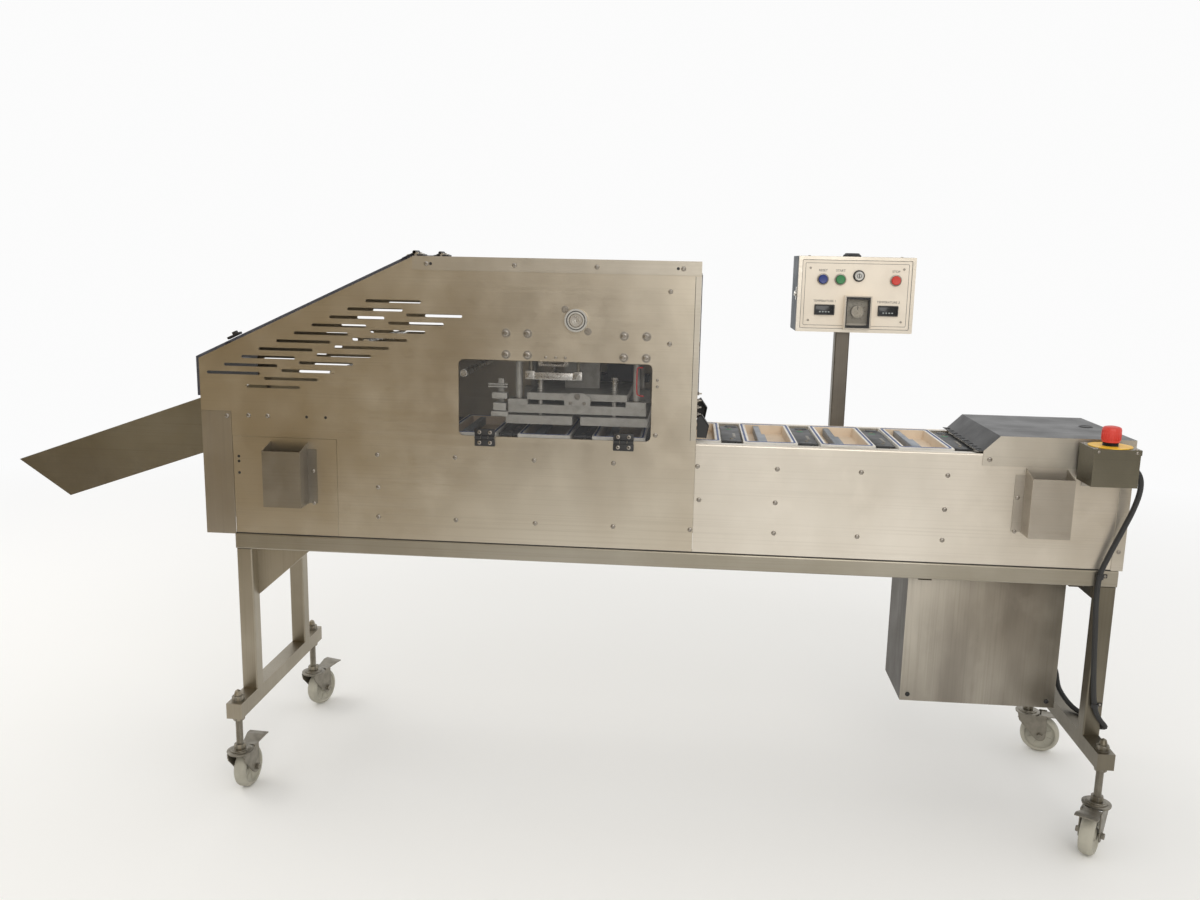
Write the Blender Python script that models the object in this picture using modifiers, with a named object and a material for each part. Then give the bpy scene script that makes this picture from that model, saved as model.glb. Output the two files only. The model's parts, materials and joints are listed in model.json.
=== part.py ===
"""In-line heat sealer for filled cartons and trays, on a wheeled stainless frame.

Packs ride in carriers along an open conveyor, are sealed by a heated press inside the
guarded head, and leave down a chute.  Metres, +Z up.  Positions are written in machine
coordinates: x along the conveyor from the left end of the frame, y from the front face
of the frame towards the back, z from the floor.
"""

import math

import bmesh
import bpy
from mathutils import Matrix, Vector

# ---------------------------------------------------------------- frame
FRAME_LENGTH = 2.061
FRAME_DEPTH = 0.361
RAIL_TOP = 0.636
TUBE = 0.038
TUBE_WALL = 0.002
TUBE_CORNER = 0.003
FOOT_TOP = 0.238
FOOT_FRONT_REACH = 0.095
FOOT_REAR_REACH = 0.091
GUSSET_LENGTH = 0.140
GUSSET_DROP = 0.125
GUSSET_LIP = 0.018
GUSSET_SHEET = 0.003
VENT_RADIUS = 0.004

# ---------------------------------------------------------------- castors
WHEEL_RADIUS = 0.050
WHEEL_WIDTH = 0.032
WHEEL_FACETS = 26
HUB_RADIUS = 0.013
AXLE_RADIUS = 0.004
CASTOR_TRAIL = 0.035
SWIVEL_RADIUS = 0.031
SWIVEL_PLATE = 0.005
WHEEL_HEADROOM = 0.004
FORK_INSIDE = 0.041
FORK_CHEEK = 0.0025
STEM_RADIUS = 0.008
STEM_INSET = 0.025
NUT_RADIUS = 0.013
NUT_HEIGHT = 0.012
CASTOR_ANGLES = {"front_left": 86, "rear_left": 72, "front_right": -123, "rear_right": -19}
PEDAL_REACH = 0.062
PEDAL_RISE = 0.006
PEDAL_SHEET = 0.0025
PEDAL_FLARE = 1.25
STEM_DOME = 0.016

# ---------------------------------------------------------------- body panels
PANEL_SET_BACK = 0.004
REAR_SET_BACK = 0.020
PANEL = 0.003
SHEET = 0.0015
HEAD_OVERHANG = 0.074
HEAD_LENGTH = 1.101
HEAD_HEIGHT = 0.668
SLANT_LOW = 0.423
SLANT_RUN = 0.443
END_COVER_DROP = 0.299
ACCESS_WIDTH = 0.255
ACCESS_HEIGHT = 0.239
LID_FLANGE = 0.030
ENTRY_CLEAR = 0.370
ENTRY_FOLD = 0.020
CONVEYOR_HEIGHT = 0.259
CONVEYOR_FLANGE = 0.020

# ---------------------------------------------------------------- slots and window
SLOT_LENGTH = 0.130
SLOT_HEIGHT = 0.007
SLOTS_IN_ROW = 10
SLOT_STEP_X = 0.0431
SLOT_FIRST = (0.018, 0.033)
SLOT_ROW_SHIFT = (0.096, 0.0305)
SLOT_CLIMB = 0.957
WINDOW_FROM_RIGHT = 0.104
WINDOW_LENGTH = 0.448
WINDOW_SILL = 0.259
WINDOW_HEIGHT = 0.179
WINDOW_CORNER = 0.012
WINDOW_SHEET = 0.004
WINDOW_PROUD = 0.0015
WINDOW_PLAY = 0.0008
WINDOW_HINGE_INSET = 0.062
HINGE_LENGTH = 0.047
HINGE_LEAF = 0.020
HINGE_SHEET = 0.003
HINGE_BARREL = 0.004
WINDOW_PIN_DROP = 0.0025
GUARD_PIN_BACK = 0.002

# ---------------------------------------------------------------- guards and chute
GUARD_SHEET = 0.006
GUARD_START = 0.075
EXIT_GUARD_DROP = 0.334
GUARD_HINGE_INSET = 0.045
GUARD_KNUCKLE = 0.010
CHUTE_TIP = (-0.549, 0.160)
CHUTE_HEEL = (-0.424, 0.074)
CHUTE_WALL = 0.134
CHUTE_RIGHT = -0.045
CHUTE_SLOPE = 0.345
CHUTE_SIDE_GAP = 0.012

# ---------------------------------------------------------------- shafts and carriers
SHAFT_RADIUS = 0.0125
SHAFT_OVERHANG = 0.030
DRIVE_SHAFT_X = 0.139
TAIL_SHAFT_FROM_END = 0.176
SHAFT_HEIGHT = 0.145
SPROCKET_RADIUS = 0.082
SPROCKET_TEETH = 16
SPROCKET_TOOTH = 0.005
SPROCKET_WIDTH = 0.006
SPROCKET_INSET = 0.036
PITCH = 0.1762
ROW_SHORT_OF_STOP = 0.012
CARRIERS = 8
CARRIER_TOP = 0.262
CARRIER_DEPTH = 0.025
CARRIER_BASE = 0.004
CARRIER_LINK = 0.052
CARRIER_RIM = 0.013
CARRIER_FLOOR = 0.002
CARRIER_INSET = 0.0305
RUNNER_WIDTH = 0.020
RUNNER_HEIGHT = 0.028
RUNNER_SHEET = 0.002
CROSS_TIE = 0.020
BED_INSET = 0.060

# ---------------------------------------------------------------- press
PRESS_FROM_RIGHT = 0.280
PRESS_SHAFT_HEIGHT = 0.533
PRESS_SHAFT_RADIUS = 0.015
BOSS_RADIUS = 0.027
BOSS_DEPTH = 0.010
CAM_RADIUS = 0.050
CAM_LIFT = 0.024
CAM_TURN = 150
CAM_WIDTH = 0.014
ROLLER_RADIUS = 0.012
COLUMN_RADIUS = 0.008
COLUMN_OUTSIDE = 0.050
COLUMN_INSET = 0.050
COLUMN_HEAD = 0.055
FOOT_BAR_BOTTOM = 0.312
FOOT_BAR_HEIGHT = 0.020
FOOT_BAR_DEPTH = 0.024
FOOT_BLOCK = (0.048, 0.040, 0.013)
CENTRE_BLOCK = 0.023
UPPER_PLATE_BOTTOM = 0.344
UPPER_PLATE = 0.016
UPPER_PLATE_HALF = 0.1175
RISER_WIDTH = 0.085
RISER_DEPTH = 0.020
BRIDGE_BOTTOM = 0.436
BRIDGE_HEIGHT = 0.080
BRIDGE_WIDTH = 0.050
BRIDGE_BAR = (0.008, 0.024)
HEATER_BOTTOM = 0.287
HEATER_LENGTH = 0.157
HEATER_HEIGHT = 0.020
HEATER_MARGIN = 0.020
HEATER_TIE = 0.060
STUD_OUT = 0.087
STUD_RADIUS = 0.005
STUD_TOP = 0.369

# ---------------------------------------------------------------- end cover, guards, stop box
END_COVER_LENGTH = 0.318
END_COVER_SIDE = 0.232
END_COVER_STEP = 0.265
END_COVER_TOP = 0.300
END_COVER_SLANT = 0.035
END_COVER_OVERHANG = 0.010
END_COVER_FLANGE = 0.026
SHAFT_GUARD = (0.091, 0.054, 0.134)
SHAFT_GUARD_BOTTOM = 0.081
SHAFT_GUARD_RISE = 0.014
SHAFT_GUARD_FLANGE = 0.022
STOP_BOX = (0.096, 0.086, 0.081)
STOP_BOX_FROM_END = 0.020
STOP_BOX_BOTTOM = 0.212
STOP_BOX_STAND_OFF = 0.013
STOP_DISC_RADIUS = 0.045
STOP_HEAD_RADIUS = 0.020
STOP_STEM_RADIUS = 0.011
STOP_TRAVEL_ROOM = 0.008
STOP_HEAD_HEIGHT = 0.034
STOP_LID_LIP = 0.0015
STOP_DISC = 0.0015
LEAD_RADIUS = 0.006

# ---------------------------------------------------------------- cabinet and control box
CABINET = (0.366, 0.190, 0.341)
CABINET_FROM_END = 0.072
CABINET_FRONT = 0.105
HANGER = (0.030, 0.003)
POST_FROM_END = 0.557
POST_SET_BACK = 0.120
BOX_SIZE = (0.300, 0.158, 0.196)
BOX_FROM_END = 0.404
BOX_FRONT = 0.442
BOX_BOTTOM = 0.494
DOOR_DEPTH = 0.012
DOOR_PIN_ASIDE = 0.0015
BUTTON_RADIUS = 0.0115
BUTTON_PLAY = 0.0004
BUTTON_PROUD = 0.009
BUTTON_BEHIND = 0.006
TIMER = (0.068, 0.027, 0.086)
TIMER_FROM_LEFT = 0.1205
TIMER_BOTTOM = 0.010
TIMER_KNOB_RADIUS = 0.016
TIMER_KNOB_HEIGHT = 0.045
TIMER_SPINDLE = 0.004
TIMER_COVER = 0.003
CONTROLS = {
    "reset_button": (0.063, 0.137),
    "start_button": (0.108, 0.137),
    "key_switch": (0.155, 0.147),
    "stop_button": (0.250, 0.137),
}

GAP = 0.0003
SEAM = 0.0006
ROUND = 24

# ---------------------------------------------------------------- derived places
BODY_FRONT = PANEL_SET_BACK
BODY_REAR = FRAME_DEPTH - REAR_SET_BACK
BODY_MIDDLE = (BODY_FRONT + BODY_REAR) / 2
INSIDE_FRONT = BODY_FRONT + PANEL
INSIDE_REAR = BODY_REAR - PANEL
RAIL_BOTTOM = RAIL_TOP - TUBE
PANEL_BASE = RAIL_TOP + GAP
HEAD_LEFT = -HEAD_OVERHANG
HEAD_TOP = RAIL_TOP + HEAD_HEIGHT
SLANT_ANGLE = math.atan2(HEAD_HEIGHT - SLANT_LOW, SLANT_RUN + HEAD_OVERHANG)
SHAFT_Z = RAIL_TOP + SHAFT_HEIGHT
TAIL_SHAFT_X = FRAME_LENGTH - TAIL_SHAFT_FROM_END
PRESS_X = HEAD_LENGTH - PRESS_FROM_RIGHT
PRESS_Z = RAIL_TOP + PRESS_SHAFT_HEIGHT
COLUMN_X = PITCH / 2 + COLUMN_OUTSIDE
WINDOW_RIGHT = HEAD_LENGTH - WINDOW_FROM_RIGHT
WINDOW_LEFT = WINDOW_RIGHT - WINDOW_LENGTH
WINDOW_BOTTOM = RAIL_TOP + WINDOW_SILL
WINDOW_TOP = WINDOW_BOTTOM + WINDOW_HEIGHT
WINDOW_PIN = (BODY_FRONT - HINGE_BARREL - SEAM, WINDOW_BOTTOM - WINDOW_PIN_DROP)
GUARD_PIN = (SLANT_RUN - GUARD_PIN_BACK, HEAD_TOP + GUARD_SHEET + HINGE_BARREL)
CASTOR_TOP = 2 * WHEEL_RADIUS + WHEEL_HEADROOM + SWIVEL_PLATE
SLIDE_TOP = RAIL_TOP + CARRIER_TOP - CARRIER_DEPTH
BOX_LEFT = FRAME_LENGTH - BOX_FROM_END - BOX_SIZE[0]
BOX_Z = RAIL_TOP + BOX_BOTTOM
DOOR_PIN = (BOX_LEFT + BOX_SIZE[0] + DOOR_PIN_ASIDE, BOX_FRONT + DOOR_DEPTH + GAP)
STOP_BOX_LEFT = FRAME_LENGTH - STOP_BOX_FROM_END - STOP_BOX[0]
STOP_BOX_BACK = BODY_FRONT - STOP_BOX_STAND_OFF
STOP_TOP = RAIL_TOP + STOP_BOX_BOTTOM + STOP_BOX[2]
CABINET_LEFT = FRAME_LENGTH - CABINET_FROM_END - CABINET[0]
LEFT_REACH = CHUTE_TIP[0]
PEDAL_TIP = CASTOR_TRAIL + PEDAL_REACH
PEDAL_TIP_HALF = (FORK_INSIDE / 2 - SEAM) * PEDAL_FLARE
RIGHT_LEAN = math.radians(CASTOR_ANGLES["rear_right"])
FRONT_LEAN = math.radians(CASTOR_ANGLES["front_right"])
CASTOR_RIGHT = PEDAL_TIP * abs(math.cos(RIGHT_LEAN)) + PEDAL_TIP_HALF * abs(math.sin(RIGHT_LEAN))
CASTOR_FRONT = PEDAL_TIP * abs(math.sin(FRONT_LEAN)) + PEDAL_TIP_HALF * abs(math.cos(FRONT_LEAN))
RIGHT_REACH = FRAME_LENGTH - TUBE / 2 + CASTOR_RIGHT
FRONT_REACH = -FOOT_FRONT_REACH + STEM_INSET - CASTOR_FRONT
REAR_REACH = BOX_FRONT + BOX_SIZE[1]


# ---------------------------------------------------------------- scene helpers
def clear_scene():
    for obj in list(bpy.data.objects):
        bpy.data.objects.remove(obj, do_unlink=True)


def new_collection(name):
    collection = bpy.data.collections.new(name)
    bpy.context.scene.collection.children.link(collection)
    return collection


def new_material(name, colour, roughness, metallic):
    material = bpy.data.materials.new(name)
    material.use_nodes = True
    shader = material.node_tree.nodes["Principled BSDF"]
    shader.inputs["Base Color"].default_value = (*colour, 1.0)
    shader.inputs["Roughness"].default_value = roughness
    shader.inputs["Metallic"].default_value = metallic
    return material


clear_scene()
MACHINE = new_collection("carton_sealer_machine")
CUTTERS = new_collection("cutters")
STEEL = ((0.62, 0.60, 0.56), 0.35, 1.0)
FRAME_STEEL = ((0.50, 0.48, 0.44), 0.42, 1.0)
BRIGHT = ((0.75, 0.74, 0.72), 0.20, 1.0)
NYLON = ((0.48, 0.47, 0.42), 0.55, 0.0)
TINTED = ((0.10, 0.13, 0.17), 0.10, 0.0)
WHITE = ((0.86, 0.84, 0.80), 0.45, 0.0)
BLACK = ((0.03, 0.03, 0.03), 0.50, 0.0)
RED = ((0.75, 0.05, 0.04), 0.40, 0.0)
GREEN = ((0.05, 0.35, 0.12), 0.40, 0.0)
BLUE = ((0.05, 0.08, 0.28), 0.40, 0.0)
YELLOW = ((0.85, 0.60, 0.05), 0.45, 0.0)

ORIGIN = bpy.data.objects.new("machine_origin", None)
MACHINE.objects.link(ORIGIN)
ORIGIN.location = (-(LEFT_REACH + RIGHT_REACH) / 2, -(FRONT_REACH + REAR_REACH) / 2, 0.0)


def add(name, mesh, look, pivot=(0.0, 0.0, 0.0), parent=None):
    """Object whose mesh is given in its parent's coordinates and whose origin is at pivot."""
    mesh.transform(Matrix.Translation(-Vector(pivot)))
    mesh.materials.append(new_material(name, *look))
    mesh.shade_smooth()
    mesh.set_sharp_from_angle(angle=math.radians(35))
    obj = bpy.data.objects.new(name, mesh)
    obj.location = pivot
    obj.parent = parent or ORIGIN
    MACHINE.objects.link(obj)
    return obj


def tool(mesh, parent=None):
    """Hidden solid that only shapes another one."""
    obj = bpy.data.objects.new("cutter", mesh)
    obj.parent = parent or ORIGIN
    obj.hide_render = True
    obj.display_type = "WIRE"
    CUTTERS.objects.link(obj)
    return obj


def combine(target, operation, *meshes):
    for mesh in meshes:
        modifier = target.modifiers.new(operation.lower(), "BOOLEAN")
        modifier.operation = operation
        modifier.solver = "EXACT"
        modifier.object = tool(mesh, target.parent)
    return target


def solidify(obj, thickness, inward=True):
    modifier = obj.modifiers.new("wall", "SOLIDIFY")
    modifier.thickness = thickness
    modifier.offset = -1.0 if inward else 1.0
    modifier.use_even_offset = True
    return obj


# ---------------------------------------------------------------- mesh helpers
def finish(bm):
    mesh = bpy.data.meshes.new("shape")
    bm.to_mesh(mesh)
    bm.free()
    return mesh


def box(low, high, open_sides=()):
    """Box between two corners; open_sides names faces left out, such as "+z"."""
    bm = bmesh.new()
    bmesh.ops.create_cube(bm, size=1.0)
    size = [high[i] - low[i] for i in range(3)]
    middle = [(high[i] + low[i]) / 2 for i in range(3)]
    bmesh.ops.scale(bm, vec=size, verts=bm.verts)
    bmesh.ops.translate(bm, vec=middle, verts=bm.verts)
    dropped = [face for face in bm.faces if side_of(face.normal) in open_sides]
    bmesh.ops.delete(bm, geom=dropped, context="FACES_ONLY")
    return finish(bm)


def side_of(normal):
    axis = max(range(3), key=lambda i: abs(normal[i]))
    return ("+" if normal[axis] > 0 else "-") + "xyz"[axis]


def rod(axis, centre, start, end, radius, segments=ROUND):
    """Round bar along an axis letter; centre holds the other two coordinates in order."""
    turn = {
        "x": Matrix(((0, 0, 1), (1, 0, 0), (0, 1, 0))),
        "y": Matrix(((1, 0, 0), (0, 0, 1), (0, -1, 0))),
        "z": Matrix.Identity(3),
    }[axis]
    place = list(centre)
    place.insert("xyz".index(axis), (start + end) / 2)
    matrix = Matrix.Translation(place) @ turn.to_4x4()
    bm = bmesh.new()
    bmesh.ops.create_cone(
        bm,
        cap_ends=True,
        segments=segments,
        radius1=radius,
        radius2=radius,
        depth=end - start,
        matrix=matrix,
    )
    bmesh.ops.recalc_face_normals(bm, faces=bm.faces)
    return finish(bm)


def evaluated_mesh(obj):
    """The object's shape as a closed mesh with its loose caps welded on; the object goes."""
    evaluated = obj.evaluated_get(bpy.context.evaluated_depsgraph_get())
    mesh = bpy.data.meshes.new_from_object(evaluated)
    bpy.data.objects.remove(obj, do_unlink=True)
    bm = bmesh.new()
    bm.from_mesh(mesh)
    bmesh.ops.remove_doubles(bm, verts=bm.verts, dist=1e-5)
    bmesh.ops.recalc_face_normals(bm, faces=bm.faces)
    return finish(bm)


def curve_mesh(curve):
    obj = bpy.data.objects.new("outline", curve)
    bpy.context.scene.collection.objects.link(obj)
    return evaluated_mesh(obj)


def extrusion(outlines, plane, start, end):
    """Flat outlines, the first the edge and the rest its holes, drawn out along the third axis."""
    curve = bpy.data.curves.new("outline", "CURVE")
    curve.dimensions = "2D"
    curve.fill_mode = "BOTH"
    curve.extrude = (end - start) / 2
    for outline in outlines:
        spline = curve.splines.new("POLY")
        spline.points.add(len(outline) - 1)
        for point, (u, v) in zip(spline.points, outline):
            point.co = (u, v, 0.0, 1.0)
        spline.use_cyclic_u = True
    mesh = curve_mesh(curve)
    middle = (start + end) / 2
    columns = {
        "xz": ((1, 0, 0), (0, 0, 1), (0, -1, 0)),
        "yz": ((0, 1, 0), (0, 0, 1), (1, 0, 0)),
        "xy": ((1, 0, 0), (0, 1, 0), (0, 0, 1)),
    }[plane]
    shift = {"xz": (0, middle, 0), "yz": (middle, 0, 0), "xy": (0, 0, middle)}[plane]
    turn = Matrix(columns).transposed().to_4x4()
    mesh.transform(Matrix.Translation(shift) @ turn)
    return mesh


def turned(profile, place, axis, segments=ROUND):
    """Profile of (radius, height) points, from the top down its outer side, turned by a Screw."""
    bm = bmesh.new()
    line = [bm.verts.new((radius, 0.0, height)) for radius, height in profile]
    for pair in zip(line, line[1:]):
        bm.edges.new(pair)
    bmesh.ops.remove_doubles(bm, verts=bm.verts, dist=1e-6)
    obj = bpy.data.objects.new("profile", finish(bm))
    bpy.context.scene.collection.objects.link(obj)
    modifier = obj.modifiers.new("turn", "SCREW")
    modifier.steps = segments
    modifier.render_steps = segments
    modifier.use_merge_vertices = True
    modifier.merge_threshold = 1e-5
    mesh = evaluated_mesh(obj)
    if axis == "y":
        mesh.transform(Matrix.Rotation(math.radians(90), 4, "X"))
    mesh.transform(Matrix.Translation(place))
    return mesh


def bent_sheet(profile, plane, start, end):
    """Open sheet: a bent line in the plane, drawn out from start to end along the third axis."""
    spot = {
        "xz": lambda u, v: (u, start, v),
        "yz": lambda u, v: (start, u, v),
        "xy": lambda u, v: (u, v, start),
    }[plane]
    way = {"xz": (0, 1, 0), "yz": (1, 0, 0), "xy": (0, 0, 1)}[plane]
    bm = bmesh.new()
    line = [bm.verts.new(spot(u, v)) for u, v in profile]
    edges = [bm.edges.new(pair) for pair in zip(line, line[1:])]
    drawn = bmesh.ops.extrude_edge_only(bm, edges=edges)["geom"]
    moved = [item for item in drawn if isinstance(item, bmesh.types.BMVert)]
    bmesh.ops.translate(bm, vec=[component * (end - start) for component in way], verts=moved)
    bmesh.ops.recalc_face_normals(bm, faces=bm.faces)
    return finish(bm)


# ---------------------------------------------------------------- outline helpers
def rectangle(left, bottom, right, top, corner=0.0, steps=2):
    """Rectangle, its corners rounded by quarter arcs where corner is above zero."""
    if corner <= 0:
        return [(left, bottom), (right, bottom), (right, top), (left, top)]
    centres = [
        (right - corner, top - corner),
        (left + corner, top - corner),
        (left + corner, bottom + corner),
        (right - corner, bottom + corner),
    ]
    points = []
    for quarter, (cx, cz) in enumerate(centres):
        for step in range(steps + 1):
            angle = math.radians(90 * quarter + 90 * step / steps)
            points.append((cx + corner * math.cos(angle), cz + corner * math.sin(angle)))
    return points


def circle(cx, cz, radius, segments=ROUND):
    angles = [i * math.tau / segments for i in range(segments)]
    return [(cx + radius * math.cos(angle), cz + radius * math.sin(angle)) for angle in angles]


def slot_outline(left, middle):
    half = SLOT_HEIGHT / 2
    return rectangle(left, middle - half, left + SLOT_LENGTH, middle + half, half * 0.9, 2)


def slant_point(along, above):
    """Point this far up the sloped edge of the head from its low corner, and above it."""
    return (
        HEAD_LEFT + along * math.cos(SLANT_ANGLE) - above * math.sin(SLANT_ANGLE),
        RAIL_TOP + SLANT_LOW + along * math.sin(SLANT_ANGLE) + above * math.cos(SLANT_ANGLE),
    )


# ---------------------------------------------------------------- frame
def tube_outline(low_u, low_v):
    outer = rectangle(low_u, low_v, low_u + TUBE, low_v + TUBE, TUBE_CORNER)
    inner = rectangle(
        low_u + TUBE_WALL, low_v + TUBE_WALL, low_u + TUBE - TUBE_WALL, low_v + TUBE - TUBE_WALL
    )
    return outer, inner


def make_rails():
    for name, y in (("rail_front", 0.0), ("rail_rear", FRAME_DEPTH - TUBE)):
        mesh = extrusion(tube_outline(y, RAIL_BOTTOM), "yz", 0.0, FRAME_LENGTH)
        add(name, mesh, FRAME_STEEL)


def stem_places(x):
    middle = x + TUBE / 2
    return (
        (middle, -FOOT_FRONT_REACH + STEM_INSET),
        (middle, FRAME_DEPTH + FOOT_REAR_REACH - STEM_INSET),
    )


def stem(place):
    """Threaded castor stem with its nuts: lock nut, nut under the beam, nut and dome above it."""
    foot_bottom = FOOT_TOP - TUBE
    bearing_top = CASTOR_TOP + SWIVEL_PLATE + GAP
    profile = [
        (0.0, FOOT_TOP + NUT_HEIGHT + STEM_DOME),
        (STEM_RADIUS * 0.8, FOOT_TOP + NUT_HEIGHT + STEM_DOME * 0.75),
        (STEM_RADIUS + 0.001, FOOT_TOP + NUT_HEIGHT + STEM_DOME / 4),
        (STEM_RADIUS + 0.001, FOOT_TOP + NUT_HEIGHT),
        (NUT_RADIUS, FOOT_TOP + NUT_HEIGHT),
        (NUT_RADIUS, foot_bottom - NUT_HEIGHT),
        (STEM_RADIUS, foot_bottom - NUT_HEIGHT),
        (STEM_RADIUS, bearing_top + NUT_HEIGHT),
        (NUT_RADIUS, bearing_top + NUT_HEIGHT),
        (NUT_RADIUS, bearing_top),
        (0.0, bearing_top),
    ]
    return turned(profile, (*place, 0.0), "z", 12)


def gusset(x):
    """Triangular corner plate behind the front leg, with a lip along its sloped edge."""
    top = RAIL_BOTTOM - GAP
    back = TUBE - GUSSET_SHEET
    left, right = x + TUBE - 0.001, x + TUBE + GUSSET_LENGTH
    low = top - GUSSET_DROP
    plate = extrusion([[(left, top), (left, low), (right, top)]], "xz", back - GUSSET_SHEET, back)
    lip_run = GUSSET_SHEET * 1.5
    lip = [(left, low), (right, top), (right - lip_run, top), (left, low + lip_run)]
    return plate, extrusion([lip], "xz", back - GUSSET_SHEET, back + GUSSET_LIP)


def make_leg_frame(name, x, with_gusset):
    """Two legs on a foot beam, tied below the rails, with the castor stems through the beam."""
    foot_bottom = FOOT_TOP - TUBE
    leg_top = RAIL_BOTTOM - GAP
    front = -FOOT_FRONT_REACH
    rear = FRAME_DEPTH + FOOT_REAR_REACH
    frame = add(name, box((x, front, foot_bottom), (x + TUBE, rear, FOOT_TOP)), FRAME_STEEL)
    leg_fronts = (0.0, FRAME_DEPTH - TUBE)
    for y in leg_fronts:
        outline = rectangle(x, y, x + TUBE, y + TUBE, TUBE_CORNER)
        combine(frame, "UNION", extrusion([outline], "xy", FOOT_TOP - 0.001, leg_top))
    tie_bottom = leg_top - TUBE
    tie = box((x, TUBE - 0.001, tie_bottom), (x + TUBE, FRAME_DEPTH - TUBE + 0.001, leg_top - GAP))
    combine(frame, "UNION", tie)
    if with_gusset:
        combine(frame, "UNION", *gusset(x))
    wall = TUBE_WALL
    core_left, core_right = x + wall, x + TUBE - wall
    low = (core_left, front + wall, foot_bottom + wall)
    cores = [box(low, (core_right, rear - wall, FOOT_TOP - wall))]
    for y in leg_fronts:
        low = (core_left, y + wall, FOOT_TOP - 2 * wall)
        cores.append(box(low, (core_right, y + TUBE - wall, leg_top - wall)))
    vent = (x + TUBE / 2, FRAME_DEPTH / 2)
    cores.append(rod("z", vent, foot_bottom - wall, foot_bottom + 2 * wall, VENT_RADIUS, 12))
    combine(frame, "DIFFERENCE", *cores)
    for place in stem_places(x):
        combine(frame, "UNION", stem(place))


# ---------------------------------------------------------------- castors
def fork_cheek(y):
    """Side plate of the fork, from the swivel plate down to the axle."""
    top = CASTOR_TOP - SWIVEL_PLATE + 0.001
    trail = CASTOR_TRAIL
    outline = [
        (-0.024, top),
        (-0.020, top - 0.018),
        (trail - 0.016, WHEEL_RADIUS - 0.006),
        (trail - 0.006, WHEEL_RADIUS - 0.014),
        (trail + 0.006, WHEEL_RADIUS - 0.014),
        (trail + 0.014, WHEEL_RADIUS - 0.004),
        (trail + 0.014, top + 0.004),
        (trail - 0.005, top + 0.004),
        (trail - 0.008, top),
    ]
    return extrusion([outline], "xz", y, y + FORK_CHEEK)


def make_fork(name, castor):
    half = FORK_INSIDE / 2
    plate = rod("z", (0.0, 0.0), CASTOR_TOP - SWIVEL_PLATE, CASTOR_TOP, SWIVEL_RADIUS)
    fork = add(name, plate, BRIGHT, parent=castor)
    race = rod("z", (0.0, 0.0), CASTOR_TOP - 0.001, CASTOR_TOP + SWIVEL_PLATE, SWIVEL_RADIUS * 0.6)
    axle_ends = half + FORK_CHEEK + 0.003
    axle = rod("y", (CASTOR_TRAIL, WHEEL_RADIUS), -axle_ends, axle_ends, AXLE_RADIUS, 12)
    combine(fork, "UNION", race, fork_cheek(half), fork_cheek(-half - FORK_CHEEK), axle)


def make_wheel(name, castor):
    half = WHEEL_WIDTH / 2
    bore = AXLE_RADIUS + GAP
    hub = HUB_RADIUS
    tread = WHEEL_RADIUS / math.cos(math.pi / WHEEL_FACETS)
    profile = [
        (bore, half),
        (hub, half),
        (hub + 0.004, half - 0.005),
        (WHEEL_RADIUS - 0.012, half - 0.005),
        (WHEEL_RADIUS - 0.008, half - 0.001),
        (WHEEL_RADIUS - 0.002, half - 0.004),
        (tread, half - 0.009),
    ]
    profile += [(radius, -height) for radius, height in reversed(profile)]
    profile.append(profile[0])
    mesh = turned(profile, (CASTOR_TRAIL, 0.0, WHEEL_RADIUS), "y", WHEEL_FACETS)
    add(name, mesh, NYLON, (CASTOR_TRAIL, 0.0, WHEEL_RADIUS), castor)


def make_brake(name, castor):
    """Foot pedal pressed out of sheet, narrow between the cheeks and flared at its tip."""
    half = FORK_INSIDE / 2 - SEAM
    low = CASTOR_TOP - AXLE_RADIUS / 2
    pivot = (CASTOR_TRAIL + AXLE_RADIUS, 0.0, low)
    flare_start = CASTOR_TRAIL + PEDAL_REACH / 2
    profile = [
        (CASTOR_TRAIL, low),
        (CASTOR_TRAIL + PEDAL_REACH / 3, low),
        (flare_start + PEDAL_REACH / 4, low + PEDAL_RISE),
        (CASTOR_TRAIL + PEDAL_REACH, low + PEDAL_RISE),
    ]
    sheet = bent_sheet(profile, "xz", -half, half)
    for vertex in sheet.vertices:
        if vertex.co.x > flare_start:
            vertex.co.y *= PEDAL_FLARE
    solidify(add(name, sheet, BRIGHT, pivot, castor), PEDAL_SHEET)


def make_castors():
    left, right = stem_places(0.0), stem_places(FRAME_LENGTH - TUBE)
    places = {
        "front_left": left[0],
        "rear_left": left[1],
        "front_right": right[0],
        "rear_right": right[1],
    }
    for where, place in places.items():
        castor = bpy.data.objects.new("castor_" + where, None)
        MACHINE.objects.link(castor)
        castor.parent = ORIGIN
        castor.location = (*place, 0.0)
        castor.rotation_euler = (0.0, 0.0, math.radians(CASTOR_ANGLES[where]))
        make_fork("castor_fork_" + where, castor)
        make_wheel("castor_wheel_" + where, castor)
        make_brake("castor_brake_" + where, castor)


# ---------------------------------------------------------------- head
def head_outline():
    notch = END_COVER_DROP
    access = ACCESS_HEIGHT
    return [
        (HEAD_LEFT, RAIL_TOP + notch),
        (0.0, RAIL_TOP + notch),
        (0.0, RAIL_TOP + access),
        (ACCESS_WIDTH, RAIL_TOP + access),
        (ACCESS_WIDTH, PANEL_BASE),
        (HEAD_LENGTH, PANEL_BASE),
        (HEAD_LENGTH, HEAD_TOP),
        (SLANT_RUN, HEAD_TOP),
        (HEAD_LEFT, RAIL_TOP + SLANT_LOW),
    ]


def rear_head_outline():
    """The rear plate has no access opening, so it is whole down to the rail."""
    outline = head_outline()
    return outline[:2] + [(0.0, PANEL_BASE)] + outline[5:]


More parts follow.
